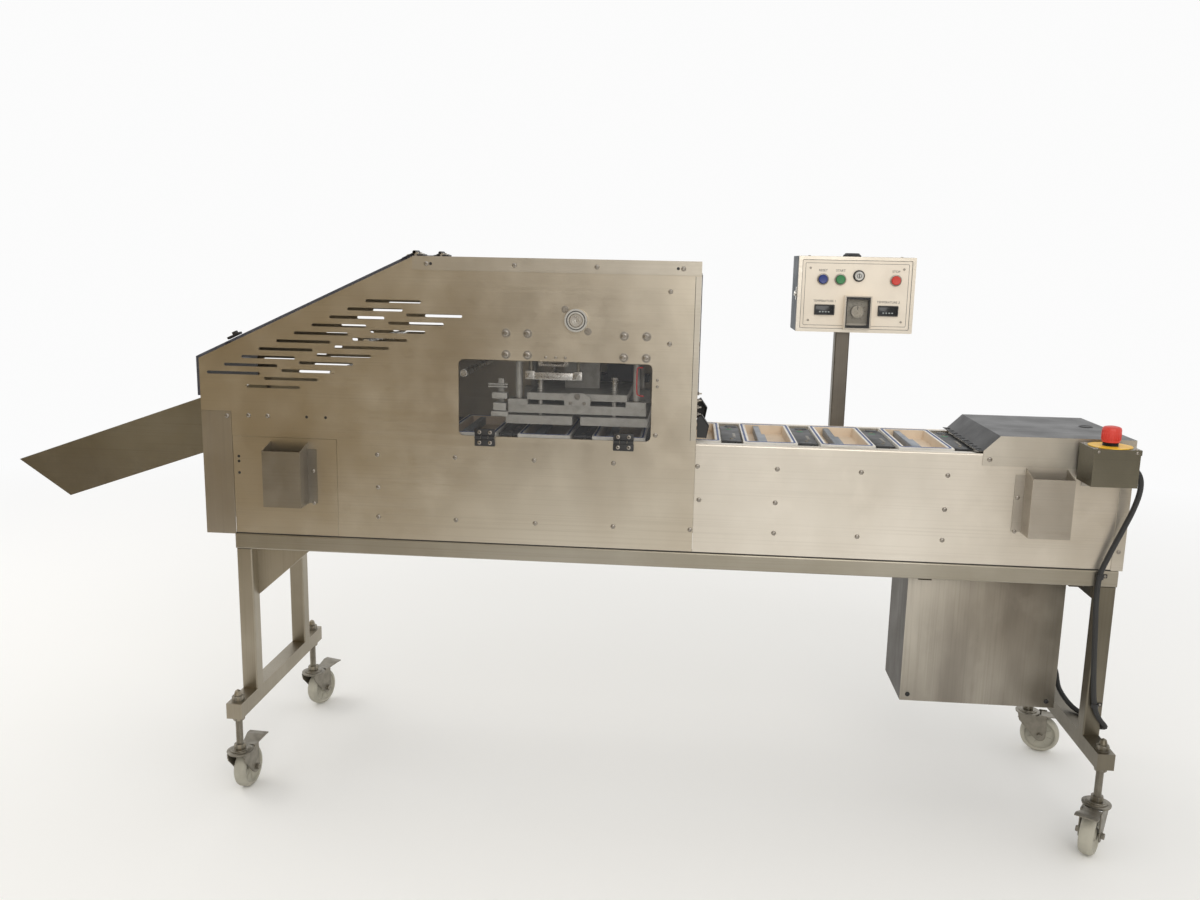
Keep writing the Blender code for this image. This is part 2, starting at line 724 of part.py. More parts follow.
def slots():
    """Two staggered rows of vent slots that climb with the sloped edge."""
    rise = SLOT_STEP_X * math.tan(SLANT_ANGLE) * SLOT_CLIMB
    found = []
    for row in range(2):
        left = HEAD_LEFT + SLOT_FIRST[0] + row * SLOT_ROW_SHIFT[0]
        middle = RAIL_TOP + SLANT_LOW - SLOT_FIRST[1] - row * SLOT_ROW_SHIFT[1]
        for step in range(SLOTS_IN_ROW):
            found.append(slot_outline(left + step * SLOT_STEP_X, middle + step * rise))
    return found


def boss(start, end):
    return extrusion([circle(PRESS_X, PRESS_Z, BOSS_RADIUS)], "xz", start, end)


def head_openings(start, end):
    """Cutter for the slots and the press bearing of one side plate."""
    bore = circle(PRESS_X, PRESS_Z, PRESS_SHAFT_RADIUS + 2 * GAP)
    return extrusion([*slots(), bore], "xz", start, end)


def hinge_centres():
    return (WINDOW_LEFT + WINDOW_HINGE_INSET, WINDOW_RIGHT - WINDOW_HINGE_INSET)


def leaf_outline(centre, spans, root, edge, end):
    """Plate of a hinge leaf with eased corners and a tab that reaches into each of its knuckles."""
    half = HINGE_LENGTH / 2
    corner = edge + (end - edge) / 20
    outline = [(centre + half, end), (centre + half, corner)]
    for near, far in reversed(spans):
        near, far = near + GAP, far - GAP
        outline += [(far, edge), (far, root), (near, root), (near, edge)]
    return outline + [(centre - half, corner), (centre - half, end)]


def window_leaf(centre, upper):
    """One half of a window hinge: a leaf, and its knuckles round the pin."""
    pin_y, pin_z = WINDOW_PIN
    half = HINGE_LENGTH / 2
    third = HINGE_LENGTH / 6
    way = 1 if upper else -1
    if upper:
        spans = [(centre - third, centre + third)]
    else:
        spans = [(centre - half, centre - third - SEAM), (centre + third + SEAM, centre + half)]
    root = pin_z - way * HINGE_BARREL / 5
    edge = pin_z + way * (HINGE_BARREL + GAP)
    outline = leaf_outline(centre, spans, root, edge, pin_z + way * HINGE_LEAF)
    leaf = extrusion([outline], "xz", pin_y + HINGE_BARREL / 4, BODY_FRONT - way * GAP)
    return [leaf] + [rod("x", WINDOW_PIN, near, far, HINGE_BARREL, 12) for near, far in spans]


def make_head_sides():
    window = rectangle(WINDOW_LEFT, WINDOW_BOTTOM, WINDOW_RIGHT, WINDOW_TOP, WINDOW_CORNER, 3)
    mesh = extrusion([head_outline(), window], "xz", BODY_FRONT, INSIDE_FRONT)
    front = add("head_side_front", mesh, STEEL)
    combine(front, "UNION", boss(BODY_FRONT - BOSS_DEPTH, BODY_FRONT + PANEL / 3))
    for centre in hinge_centres():
        combine(front, "UNION", *window_leaf(centre, False))
    combine(front, "DIFFERENCE", head_openings(BODY_FRONT - 2 * BOSS_DEPTH, INSIDE_FRONT + BOSS_DEPTH))
    drive = circle(DRIVE_SHAFT_X, SHAFT_Z, SHAFT_RADIUS + 2 * GAP)
    mesh = extrusion([rear_head_outline(), drive], "xz", INSIDE_REAR, BODY_REAR)
    rear = add("head_side_rear", mesh, STEEL)
    combine(rear, "UNION", boss(BODY_REAR - PANEL / 3, BODY_REAR + BOSS_DEPTH))
    combine(rear, "DIFFERENCE", head_openings(INSIDE_REAR - BOSS_DEPTH, BODY_REAR + 2 * BOSS_DEPTH))


def make_window_door():
    outline = rectangle(
        WINDOW_LEFT + WINDOW_PLAY,
        WINDOW_BOTTOM + WINDOW_PLAY,
        WINDOW_RIGHT - WINDOW_PLAY,
        WINDOW_TOP - WINDOW_PLAY,
        WINDOW_CORNER,
        3,
    )
    face = BODY_FRONT - WINDOW_PROUD
    sheet = extrusion([outline], "xz", face, face + WINDOW_SHEET)
    door = add("window_door", sheet, TINTED, (0.0, *WINDOW_PIN))
    for centre in hinge_centres():
        combine(door, "UNION", *window_leaf(centre, True))


def make_head_lid():
    """Top sheet with its flanges folded down over both side plates."""
    top = HEAD_TOP + GAP
    profile = [
        (BODY_FRONT - GAP, top - LID_FLANGE),
        (BODY_FRONT - GAP, top),
        (BODY_REAR + GAP, top),
        (BODY_REAR + GAP, top - LID_FLANGE),
    ]
    lid = add("head_lid", bent_sheet(profile, "yz", SLANT_RUN + SEAM, HEAD_LENGTH), STEEL)
    solidify(lid, SHEET, inward=False)
    for y in guard_hinge_places():
        combine(lid, "UNION", *lid_leaf(y, top + SHEET))


def guard_hinge_places():
    return (BODY_FRONT + GUARD_HINGE_INSET, BODY_REAR - GUARD_HINGE_INSET)


def lid_leaf(y, top):
    """Fixed half of a guard hinge: a leaf on the lid and a knuckle on each side of the moving one."""
    right = GUARD_PIN[0] + HINGE_LEAF
    near, far = GUARD_KNUCKLE + SEAM, GUARD_KNUCKLE + HINGE_LEAF / 2
    leaf_left = SLANT_RUN + HINGE_BARREL
    pieces = [box((leaf_left, y - far, top - SHEET / 2), (right, y + far, top + HINGE_SHEET))]
    for low, high in ((y - far, y - near), (y + near, y + far)):
        pieces.append(rod("y", GUARD_PIN, low, high, HINGE_BARREL, 12))
        web_left = GUARD_PIN[0] + HINGE_BARREL / 4
        pieces.append(box((web_left, low, top + GAP), (leaf_left + HINGE_SHEET, high, GUARD_PIN[1])))
    return pieces


def make_entry_panel():
    """Panel that closes the head above the packs, folded back along its lower edge."""
    face = HEAD_LENGTH - SHEET
    profile = [
        (face - ENTRY_FOLD, RAIL_TOP + ENTRY_CLEAR),
        (face, RAIL_TOP + ENTRY_CLEAR),
        (face, HEAD_TOP - SEAM),
    ]
    mesh = bent_sheet(profile, "xz", INSIDE_FRONT + GAP, INSIDE_REAR - GAP)
    solidify(add("entry_panel", mesh, STEEL), SHEET)


def guard_leaf(y):
    """Hinge leaf and barrel on top of the sloped guard."""
    length = (SLANT_RUN + HEAD_OVERHANG) / math.cos(SLANT_ANGLE)
    top = GAP + GUARD_SHEET
    outline = [
        slant_point(length - 0.036, top - 0.001),
        slant_point(length - 0.003, top - 0.001),
        (GUARD_PIN[0], GUARD_PIN[1] - 0.002),
        (GUARD_PIN[0] - 0.002, GUARD_PIN[1] + 0.001),
        slant_point(length - 0.036, top + HINGE_SHEET),
    ]
    return [
        extrusion([outline], "xz", y - GUARD_KNUCKLE, y + GUARD_KNUCKLE),
        rod("y", GUARD_PIN, y - GUARD_KNUCKLE, y + GUARD_KNUCKLE, HINGE_BARREL, 12),
    ]


def make_sloped_guard():
    length = (SLANT_RUN + HEAD_OVERHANG) / math.cos(SLANT_ANGLE)
    outline = [
        slant_point(GUARD_START, GAP),
        slant_point(length - 0.004, GAP),
        slant_point(length - 0.004, GAP + GUARD_SHEET),
        slant_point(GUARD_START, GAP + GUARD_SHEET),
    ]
    mesh = extrusion([outline], "xz", BODY_FRONT, BODY_REAR)
    guard = add("sloped_guard", mesh, TINTED, (GUARD_PIN[0], 0.0, GUARD_PIN[1]))
    for y in guard_hinge_places():
        combine(guard, "UNION", *guard_leaf(y))


def make_exit_guard():
    """Fixed guard over the exit, bent down in front of the open end of the head."""
    face = HEAD_LEFT - GAP
    end = slant_point(GUARD_START - SEAM, GAP)
    corner_rise = (HEAD_LEFT - face) * math.tan(SLANT_ANGLE)
    corner = (face, RAIL_TOP + SLANT_LOW - corner_rise + GAP / math.cos(SLANT_ANGLE))
    profile = [end, corner, (face, RAIL_TOP + EXIT_GUARD_DROP)]
    guard = add("exit_guard", bent_sheet(profile, "xz", BODY_FRONT, BODY_REAR), TINTED)
    solidify(guard, GUARD_SHEET, inward=False)


def make_left_end_cover():
    """Cover round the left end, its end face cut away where the chute passes."""
    profile = [
        (-SEAM, BODY_FRONT),
        (HEAD_LEFT, BODY_FRONT),
        (HEAD_LEFT, BODY_REAR),
        (-SEAM, BODY_REAR),
    ]
    top = RAIL_TOP + END_COVER_DROP - SEAM
    cover = add("left_end_cover", bent_sheet(profile, "xy", RAIL_TOP - 0.002, top), STEEL)
    solidify(cover, SHEET)
    floor_z = chute_floor(HEAD_LEFT) - SEAM
    low = (HEAD_LEFT - 0.01, chute_sides()[0] - SEAM, floor_z)
    high = (HEAD_LEFT + 0.01, chute_sides()[1] + SEAM, top + 0.01)
    combine(cover, "DIFFERENCE", box(low, high))


def make_access_panel():
    outline = rectangle(SEAM, PANEL_BASE, ACCESS_WIDTH - SEAM, RAIL_TOP + ACCESS_HEIGHT - SEAM)
    hole = circle(DRIVE_SHAFT_X, SHAFT_Z, SHAFT_RADIUS + 2 * GAP)
    add("access_panel", extrusion([outline, hole], "xz", BODY_FRONT, INSIDE_FRONT), STEEL)


# ---------------------------------------------------------------- chute
def chute_sides():
    return (BODY_FRONT + CHUTE_SIDE_GAP, BODY_REAR - CHUTE_SIDE_GAP)


def chute_floor(x):
    """Height of the underside of the chute above the floor at this x."""
    return RAIL_TOP + CHUTE_HEEL[1] + (x - CHUTE_HEEL[0]) * CHUTE_SLOPE


def make_chute():
    """Sloping trough, deeper at the back of its pointed side walls, open at both ends."""
    front, rear = chute_sides()
    right_floor = chute_floor(CHUTE_RIGHT)
    outline = [
        (CHUTE_TIP[0], RAIL_TOP + CHUTE_TIP[1]),
        (CHUTE_HEEL[0], RAIL_TOP + CHUTE_HEEL[1]),
        (CHUTE_RIGHT, right_floor),
        (CHUTE_RIGHT, right_floor + CHUTE_WALL),
    ]
    chute = add("outfeed_chute", extrusion([outline], "xz", front, rear), STEEL)
    run = 0.3
    hollow = [
        (CHUTE_HEEL[0] - run, chute_floor(CHUTE_HEEL[0] - run) + 2 * SHEET),
        (CHUTE_RIGHT + run, chute_floor(CHUTE_RIGHT + run) + 2 * SHEET),
        (CHUTE_RIGHT + run, right_floor + 2 * run),
        (CHUTE_HEEL[0] - run, right_floor + 2 * run),
    ]
    combine(chute, "DIFFERENCE", extrusion([hollow], "xz", front + 2 * SHEET, rear - 2 * SHEET))


# ---------------------------------------------------------------- conveyor
def make_conveyor_sides():
    top = RAIL_TOP + CONVEYOR_HEIGHT
    left, right = HEAD_LENGTH + SEAM, FRAME_LENGTH - 2 * SHEET
    hole = rod("y", (TAIL_SHAFT_X, SHAFT_Z), -0.02, FRAME_DEPTH, SHAFT_RADIUS + 2 * GAP)
    for name, face, inward in (("front", BODY_FRONT, 1), ("rear", BODY_REAR, -1)):
        profile = [
            (face, PANEL_BASE),
            (face, top),
            (face + inward * CONVEYOR_FLANGE, top),
        ]
        side = add("conveyor_side_" + name, bent_sheet(profile, "yz", left, right), STEEL)
        solidify(side, PANEL)
        combine(side, "DIFFERENCE", hole.copy())


def make_slide_bed():
    """Two angle runners that carry the carriers, joined by cross ties into one ladder."""
    left, right = BED_INSET, FRAME_LENGTH - BED_INSET
    top = SLIDE_TOP - GAP
    front, rear = INSIDE_FRONT + GAP, INSIDE_REAR - GAP
    runner = box((left, front, top - RUNNER_SHEET), (right, front + RUNNER_WIDTH, top))
    bed = add("slide_bed", runner, FRAME_STEEL)
    pieces = [
        box((left, rear - RUNNER_WIDTH, top - RUNNER_SHEET), (right, rear, top)),
        box((left, front, top - RUNNER_HEIGHT), (right, front + RUNNER_SHEET, top - 0.001)),
        box((left, rear - RUNNER_SHEET, top - RUNNER_HEIGHT), (right, rear, top - 0.001)),
    ]
    tie_top = top - RUNNER_HEIGHT + RUNNER_SHEET
    span = (TAIL_SHAFT_X - DRIVE_SHAFT_X) / 4
    for step in range(1, 4):
        x = DRIVE_SHAFT_X + step * span
        low = (x, front + GAP, tie_top - 3 * RUNNER_SHEET)
        pieces.append(box(low, (x + CROSS_TIE, rear - GAP, tie_top)))
    combine(bed, "UNION", *pieces)


def sprocket(y):
    """Toothed wheel: four points to a tooth, root, flank, tip and flank again."""
    points = []
    step = math.tau / SPROCKET_TEETH
    root = SPROCKET_RADIUS - SPROCKET_TOOTH
    form = ((0.0, root), (0.30, root), (0.45, SPROCKET_RADIUS), (0.85, SPROCKET_RADIUS))
    for tooth in range(SPROCKET_TEETH):
        for share, radius in form:
            angle = (tooth + share) * step
            points.append((radius * math.cos(angle), radius * math.sin(angle)))
    return extrusion([points], "xz", y - SPROCKET_WIDTH / 2, y + SPROCKET_WIDTH / 2)


def make_chain_shaft(name, x, rear_end):
    ends = (BODY_FRONT - SHAFT_OVERHANG, rear_end)
    shaft = add(name, rod("y", (x, SHAFT_Z), *ends, SHAFT_RADIUS), BRIGHT, (x, 0.0, SHAFT_Z))
    for y in (INSIDE_FRONT + SPROCKET_INSET, INSIDE_REAR - SPROCKET_INSET):
        wheel = sprocket(y)
        wheel.transform(Matrix.Translation((x, 0.0, SHAFT_Z)))
        combine(shaft, "UNION", wheel)


def make_carriers():
    """Row of pack carriers, each a slide plate with a rimmed pocket, a pitch apart."""
    length = PITCH - CARRIER_LINK
    top = RAIL_TOP + CARRIER_TOP
    half_plate = PITCH / 2 - SEAM
    plate_front, plate_rear = INSIDE_FRONT + 0.002, INSIDE_REAR - 0.002
    plate_top = SLIDE_TOP + CARRIER_BASE
    tub_front, tub_rear = BODY_FRONT + CARRIER_INSET, BODY_REAR - CARRIER_INSET
    for index in range(CARRIERS):
        x = PRESS_X + ROW_SHORT_OF_STOP + (index - 1.5) * PITCH
        plate = box((x - half_plate, plate_front, SLIDE_TOP), (x + half_plate, plate_rear, plate_top))
        carrier = add(f"carrier_{index + 1}", plate, WHITE, (x, BODY_MIDDLE, SLIDE_TOP))
        tub = box((x - length / 2, tub_front, SLIDE_TOP + 0.001), (x + length / 2, tub_rear, top))
        combine(carrier, "UNION", tub)
        pocket = box(
            (x - length / 2 + CARRIER_RIM, tub_front + CARRIER_RIM, SLIDE_TOP + CARRIER_FLOOR),
            (x + length / 2 - CARRIER_RIM, tub_rear - CARRIER_RIM, top + 0.01),
        )
        combine(carrier, "DIFFERENCE", pocket)


def make_end_cover():
    """Hood over the right end, sloped towards the packs, its flanged end wall down to the rail."""
    left = FRAME_LENGTH - END_COVER_LENGTH
    right = FRAME_LENGTH + END_COVER_OVERHANG
    side_low = RAIL_TOP + END_COVER_SIDE
    step = RAIL_TOP + END_COVER_STEP
    top = RAIL_TOP + END_COVER_TOP
    outline = [
        (left, side_low),
        (right, side_low),
        (right, top),
        (left + END_COVER_SLANT, top),
        (left, step),
    ]
    front, rear = BODY_FRONT - GAP - SHEET, BODY_REAR + GAP + SHEET
    cover = add("end_cover", extrusion([outline], "xz", front, rear), STEEL)
    wall = SHEET
    hollow = [
        (left - 0.01, side_low - 0.01),
        (right - wall, side_low - 0.01),
        (right - wall, top - wall),
        (left + END_COVER_SLANT + wall * 0.4, top - wall),
        (left + wall, step - wall * 0.4),
        (left - 0.01, step - wall * 0.4 - 0.008),
    ]
    combine(cover, "DIFFERENCE", extrusion([hollow], "xz", front + wall, rear - wall))
    low, high = PANEL_BASE, side_low + wall
    combine(cover, "UNION", box((right - wall, front, low), (right, rear, high)))
    flange_left = right - END_COVER_FLANGE
    for near, far in ((front, front + wall), (rear - wall, rear)):
        combine(cover, "UNION", box((flange_left, near, low), (right - wall / 2, far, high)))


def make_shaft_guard(name, x, flange_side):
    """Open-topped guard over a shaft end, its sides rising towards the panel, screwed on by a flange."""
    width, depth, height = SHAFT_GUARD
    bottom = RAIL_TOP + SHAFT_GUARD_BOTTOM
    back = BODY_FRONT - GAP
    low = (x - width / 2, back - depth, bottom)
    mesh = box(low, (x + width / 2, back, bottom + height), ("+z", "+y"))
    for vertex in mesh.vertices:
        if vertex.co.y > back - 0.001 and vertex.co.z > bottom + 0.001:
            vertex.co.z += SHAFT_GUARD_RISE
    guard = add(name, mesh, STEEL)
    solidify(guard, SHEET)
    edge = x + flange_side * (width - SHEET) / 2
    near, far = sorted((edge, edge + flange_side * SHAFT_GUARD_FLANGE))
    flange_low = (near, back - SHEET - GAP, bottom + SHEET)
    flange = box(flange_low, (far, back - GAP, bottom + height - SHEET))
    combine(guard, "UNION", flange)


# ---------------------------------------------------------------- press
def cam_outline():
    """Cam whose roller path grows evenly with angle over the working turn, then falls back.

    Each point lies one roller radius inside the path of the roller's centre, along its normal.
    """
    reach = ROLLER_RADIUS + GAP
    working = math.radians(CAM_TURN)
    growth = CAM_LIFT / working
    points = []
    steps = 36
    for step in range(steps):
        angle = math.tau * step / steps
        if angle <= working + 0.15:
            path, slope = CAM_RADIUS + reach + growth * angle, growth
        else:
            share = (angle - working - 0.15) / (math.tau - working - 0.15)
            fall = CAM_LIFT * 1.06
            path = CAM_RADIUS + reach + fall * (1 + math.cos(math.pi * share)) / 2
            slope = 0.0
        lean = slope / path
        scale = 1 / math.hypot(1, lean)
        radius = path - reach * scale
        aside = reach * lean * scale
        points.append(
            (
                radius * math.sin(angle) + aside * math.cos(angle),
                -radius * math.cos(angle) + aside * math.sin(angle),
            )
        )
    return points


def make_press_shaft():
    ends = (BODY_FRONT - BOSS_DEPTH + 0.002, BODY_REAR + BOSS_DEPTH - 0.002)
    bar = rod("y", (PRESS_X, PRESS_Z), *ends, PRESS_SHAFT_RADIUS)
    shaft = add("press_shaft", bar, BRIGHT, (PRESS_X, 0.0, PRESS_Z))
    cam = extrusion([cam_outline()], "xz", BODY_MIDDLE - CAM_WIDTH / 2, BODY_MIDDLE + CAM_WIDTH / 2)
    cam.transform(Matrix.Translation((PRESS_X, 0.0, PRESS_Z)))
    combine(shaft, "UNION", cam)


def column_places():
    return [
        (PRESS_X + side * COLUMN_X, y)
        for side in (-1, 1)
        for y in (BODY_FRONT + COLUMN_INSET, BODY_REAR - COLUMN_INSET)
    ]


def stud_places():
    return [
        (PRESS_X + side * STUD_OUT, y)
        for side in (-1, 1)
        for y in (BODY_FRONT + COLUMN_INSET, BODY_REAR - COLUMN_INSET)
    ]


def make_crosshead():
    """Moving frame on four guide columns, pushed down by the cam through its roller.

    Two long bars carry the columns on foot blocks; a centre block on each joins them to the
    upper plate, and a riser on that plate carries the roller.
    """
    bars_z = RAIL_TOP + FOOT_BAR_BOTTOM
    bars_top = bars_z + FOOT_BAR_HEIGHT
    plate_z = RAIL_TOP + UPPER_PLATE_BOTTOM
    plate_top = plate_z + UPPER_PLATE
    overlap = FOOT_BAR_HEIGHT / 20
    depth = FOOT_BAR_DEPTH / 2
    column_ys = (BODY_FRONT + COLUMN_INSET, BODY_REAR - COLUMN_INSET)
    low = (PRESS_X - UPPER_PLATE_HALF, column_ys[0] - depth, plate_z)
    plate = box(low, (PRESS_X + UPPER_PLATE_HALF, column_ys[1] + depth, plate_top))
    crosshead = add("press_crosshead", plate, BRIGHT, (PRESS_X, BODY_MIDDLE, bars_z))
    half_bar = COLUMN_X + FOOT_BLOCK[0] / 2
    for y in column_ys:
        bar = box((PRESS_X - half_bar, y - depth, bars_z), (PRESS_X + half_bar, y + depth, bars_top))
        block_low = (PRESS_X - CENTRE_BLOCK, y - depth + overlap, bars_top - overlap)
        block = box(block_low, (PRESS_X + CENTRE_BLOCK, y + depth - overlap, plate_z + overlap))
        combine(crosshead, "UNION", bar, block)
    half_x, half_y = FOOT_BLOCK[0] / 2 - overlap, FOOT_BLOCK[1] / 2
    foot_top = bars_top + FOOT_BLOCK[2]
    column_top = RAIL_TOP + BRIDGE_BOTTOM + BRIDGE_HEIGHT + COLUMN_HEAD
    for x, y in column_places():
        foot = box((x - half_x, y - half_y, bars_top - overlap), (x + half_x, y + half_y, foot_top))
        column = rod("z", (x, y), bars_top + overlap, column_top, COLUMN_RADIUS, 16)
        combine(crosshead, "UNION", foot, column)
    roller_z = PRESS_Z - CAM_RADIUS - ROLLER_RADIUS - GAP
    riser = box(
        (PRESS_X - RISER_WIDTH / 2, BODY_MIDDLE - RISER_DEPTH / 2, plate_top - overlap),
        (PRESS_X + RISER_WIDTH / 2, BODY_MIDDLE + RISER_DEPTH / 2, roller_z - ROLLER_RADIUS / 3),
    )
    roller_ends = (BODY_MIDDLE - CAM_WIDTH / 2, BODY_MIDDLE + CAM_WIDTH / 2)
    roller = rod("y", (PRESS_X, roller_z), *roller_ends, ROLLER_RADIUS)
    combine(crosshead, "UNION", riser, roller)
    for place in stud_places():
        hole = rod("z", place, bars_z - overlap, plate_top + overlap, STUD_RADIUS + GAP, 12)
        combine(crosshead, "DIFFERENCE", hole)


def make_platen():
    """Two heated plates joined by a tie, hung from the crosshead on studs."""
    bottom = RAIL_TOP + HEATER_BOTTOM
    top = bottom + HEATER_HEIGHT
    front = BODY_FRONT + COLUMN_INSET - HEATER_MARGIN
    rear = BODY_REAR - COLUMN_INSET + HEATER_MARGIN
    half_tie = PITCH / 2
    low = (PRESS_X - half_tie, BODY_MIDDLE - HEATER_TIE / 2, bottom + HEATER_HEIGHT / 4)
    tie = box(low, (PRESS_X + half_tie, BODY_MIDDLE + HEATER_TIE / 2, top - HEATER_HEIGHT / 4))
    platen = add("heater_platen", tie, BRIGHT, (PRESS_X, BODY_MIDDLE, bottom))
    for side in (-1, 1):
        centre = PRESS_X + side * PITCH / 2
        plate_low = (centre - HEATER_LENGTH / 2, front, bottom)
        combine(platen, "UNION", box(plate_low, (centre + HEATER_LENGTH / 2, rear, top)))
    for place in stud_places():
        stud = rod("z", place, top - HEATER_HEIGHT / 4, RAIL_TOP + STUD_TOP, STUD_RADIUS, 12)
        combine(platen, "UNION", stud)


def make_bridge():
    """Two guide blocks bolted between the side plates and tied by bars, bored for the columns."""
    low_z = RAIL_TOP + BRIDGE_BOTTOM
    high_z = low_z + BRIDGE_HEIGHT
    front, rear = INSIDE_FRONT + GAP, INSIDE_REAR - GAP
    half = BRIDGE_WIDTH / 2
    left, right = PRESS_X - COLUMN_X, PRESS_X + COLUMN_X
    block = box((left - half, front, low_z), (left + half, rear, high_z))
    bridge = add("press_bridge", block, FRAME_STEEL)
    combine(bridge, "UNION", box((right - half, front, low_z), (right + half, rear, high_z)))
    depth, height = BRIDGE_BAR
    for near, far in ((front, front + depth), (rear - depth, rear)):
        bar = box((left, near, low_z + 0.002), (right, far, low_z + 0.002 + height))
        combine(bridge, "UNION", bar)
    for place in column_places():
        bore = rod("z", place, low_z - 0.01, high_z + 0.01, COLUMN_RADIUS + GAP, 16)
        combine(bridge, "DIFFERENCE", bore)


# ---------------------------------------------------------------- emergency stop
def make_stop_box():
    """Switch box on a stand-off, with a lipped lid, open underneath for its wiring."""
    width, depth, height = STOP_BOX
    left, bottom = STOP_BOX_LEFT, RAIL_TOP + STOP_BOX_BOTTOM
    front = STOP_BOX_BACK - depth
    shell = box((left, front, bottom), (left + width, STOP_BOX_BACK, STOP_TOP), ("-z",))
    stop_box = add("estop_box", shell, STEEL)
    solidify(stop_box, SHEET)
    lip = STOP_LID_LIP
    lid_low = (left - lip, front - lip, STOP_TOP - 0.010)
    lid_high = (left + width + lip, STOP_BOX_BACK, STOP_TOP + lip)
    lid = box(lid_low, lid_high)
    hollow = box(
        (left + SHEET, front + SHEET, bottom - 0.01),
        (left + width - SHEET, STOP_BOX_BACK - SHEET, STOP_TOP - SHEET),
    )
    foot = box(
        (left + 0.2 * width, STOP_BOX_BACK - 0.001, bottom + 0.01),
        (left + 0.8 * width, BODY_FRONT - 2 * GAP - SHEET, STOP_TOP - 0.02),
    )
    combine(stop_box, "UNION", lid, foot)
    place = stop_place()
    hole = rod("z", place, STOP_TOP - 0.02, STOP_TOP + 0.02, STOP_STEM_RADIUS + 2 * GAP)
    combine(stop_box, "DIFFERENCE", hollow, hole)


def stop_place():
    return (STOP_BOX_LEFT + STOP_BOX[0] / 2, STOP_BOX_BACK - STOP_BOX[1] / 2)


def make_stop_button():
    x, y = stop_place()
    plate_low = STOP_TOP + STOP_LID_LIP + GAP
    plate_high = plate_low + STOP_DISC
    disc = [circle(x, y, STOP_DISC_RADIUS, 32), circle(x, y, STOP_STEM_RADIUS + 2 * GAP)]
    add("estop_plate", extrusion(disc, "xy", plate_low, plate_high), YELLOW)
    head_low = plate_high + STOP_TRAVEL_ROOM
    head_top = head_low + STOP_HEAD_HEIGHT
    profile = [
        (0.0, head_top),
        (STOP_HEAD_RADIUS * 0.6, head_top - 0.0006),
        (STOP_HEAD_RADIUS * 0.93, head_top - 0.003),
        (STOP_HEAD_RADIUS, head_top - 0.008),
        (STOP_HEAD_RADIUS * 0.92, head_low),
        (STOP_STEM_RADIUS, head_low),
        (STOP_STEM_RADIUS, STOP_TOP - 0.016),
        (0.0, STOP_TOP - 0.016),
    ]
    add("estop_button", turned(profile, (x, y, 0.0), "z"), RED, (x, y, plate_high))


def make_stop_lead():
    """Lead from the stop box, clipped down the right front leg and back to the cabinet."""
    box_right = STOP_BOX_LEFT + STOP_BOX[0] + GAP + STOP_LID_LIP
    box_middle = STOP_BOX_BACK - STOP_BOX[1] / 2
    box_z = RAIL_TOP + STOP_BOX_BOTTOM + 0.028
    leg = FRAME_LENGTH - TUBE
    on_leg = -LEAD_RADIUS - 0.0025
    beside = FRAME_LENGTH + LEAD_RADIUS + 0.002
    on_foot = FOOT_TOP + LEAD_RADIUS + 0.002
    cabinet_right = CABINET_LEFT + CABINET[0] + 3 * GAP
    cabinet_middle = CABINET_FRONT + CABINET[1] / 2
    route = [
        (box_right, box_middle, box_z),
        (box_right + 0.014, box_middle, box_z - 0.002),
        (box_right + 0.024, box_middle + 0.004, box_z - 0.022),
        (box_right + 0.026, box_middle + 0.010, box_z - 0.052),
        (box_right + 0.022, box_middle + 0.024, box_z - 0.094),
        (box_right + 0.009, box_middle + 0.034, box_z - 0.142),
        (leg + 0.009, on_leg - 0.004, box_z - 0.200),
        (leg - 0.005, on_leg - 0.001, RAIL_TOP - 0.010),
        (leg - 0.006, on_leg, RAIL_TOP - 0.070),
        (leg - 0.001, on_leg, RAIL_TOP - 0.140),
        (leg + 0.005, on_leg, RAIL_TOP - 0.230),
        (leg + 0.012, on_leg, FOOT_TOP + 0.100),
        (leg + 0.020, on_leg, FOOT_TOP + 0.064),
        (leg + 0.033, on_leg, FOOT_TOP + 0.042),
        (beside - 0.001, on_leg + 0.002, FOOT_TOP + 0.028),
        (beside + 0.001, 0.012, FOOT_TOP + 0.018),
        (beside + 0.002, 0.045, on_foot - 0.002),
        (beside, 0.090, on_foot - 0.002),
        (leg + 0.024, 0.140, on_foot + 0.002),
        (leg + 0.004, 0.180, on_foot + 0.030),
        (leg - 0.002, cabinet_middle, on_foot + 0.070),
        (cabinet_right + 0.018, cabinet_middle, on_foot + 0.085),
        (cabinet_right, cabinet_middle, on_foot + 0.085),
    ]
    curve = bpy.data.curves.new("lead", "CURVE")
    curve.dimensions = "3D"
    curve.bevel_depth = LEAD_RADIUS
    curve.bevel_resolution = 2
    curve.use_fill_caps = True
    spline = curve.splines.new("POLY")
    points = smooth_route(route, 4)
    spline.points.add(len(points) - 1)
    for point, place in zip(spline.points, points):
        point.co = (*place, 1.0)
    add("estop_lead", curve_mesh(curve), BLACK)


def smooth_route(route, steps):
    """Points along a smooth curve through every point of the route."""
    ends = [route[0], *route, route[-1]]
    points = []
    for index in range(1, len(ends) - 2):
        before, here, after, beyond = (Vector(ends[index + k]) for k in (-1, 0, 1, 2))
        for step in range(steps):
            t = step / steps
            points.append(
                0.5
                * (
                    2 * here
                    + (after - before) * t
                    + (2 * before - 5 * here + 4 * after - beyond) * t**2
                    + (3 * here - before - 3 * after + beyond) * t**3
                )
            )
    points.append(Vector(route[-1]))
    return points


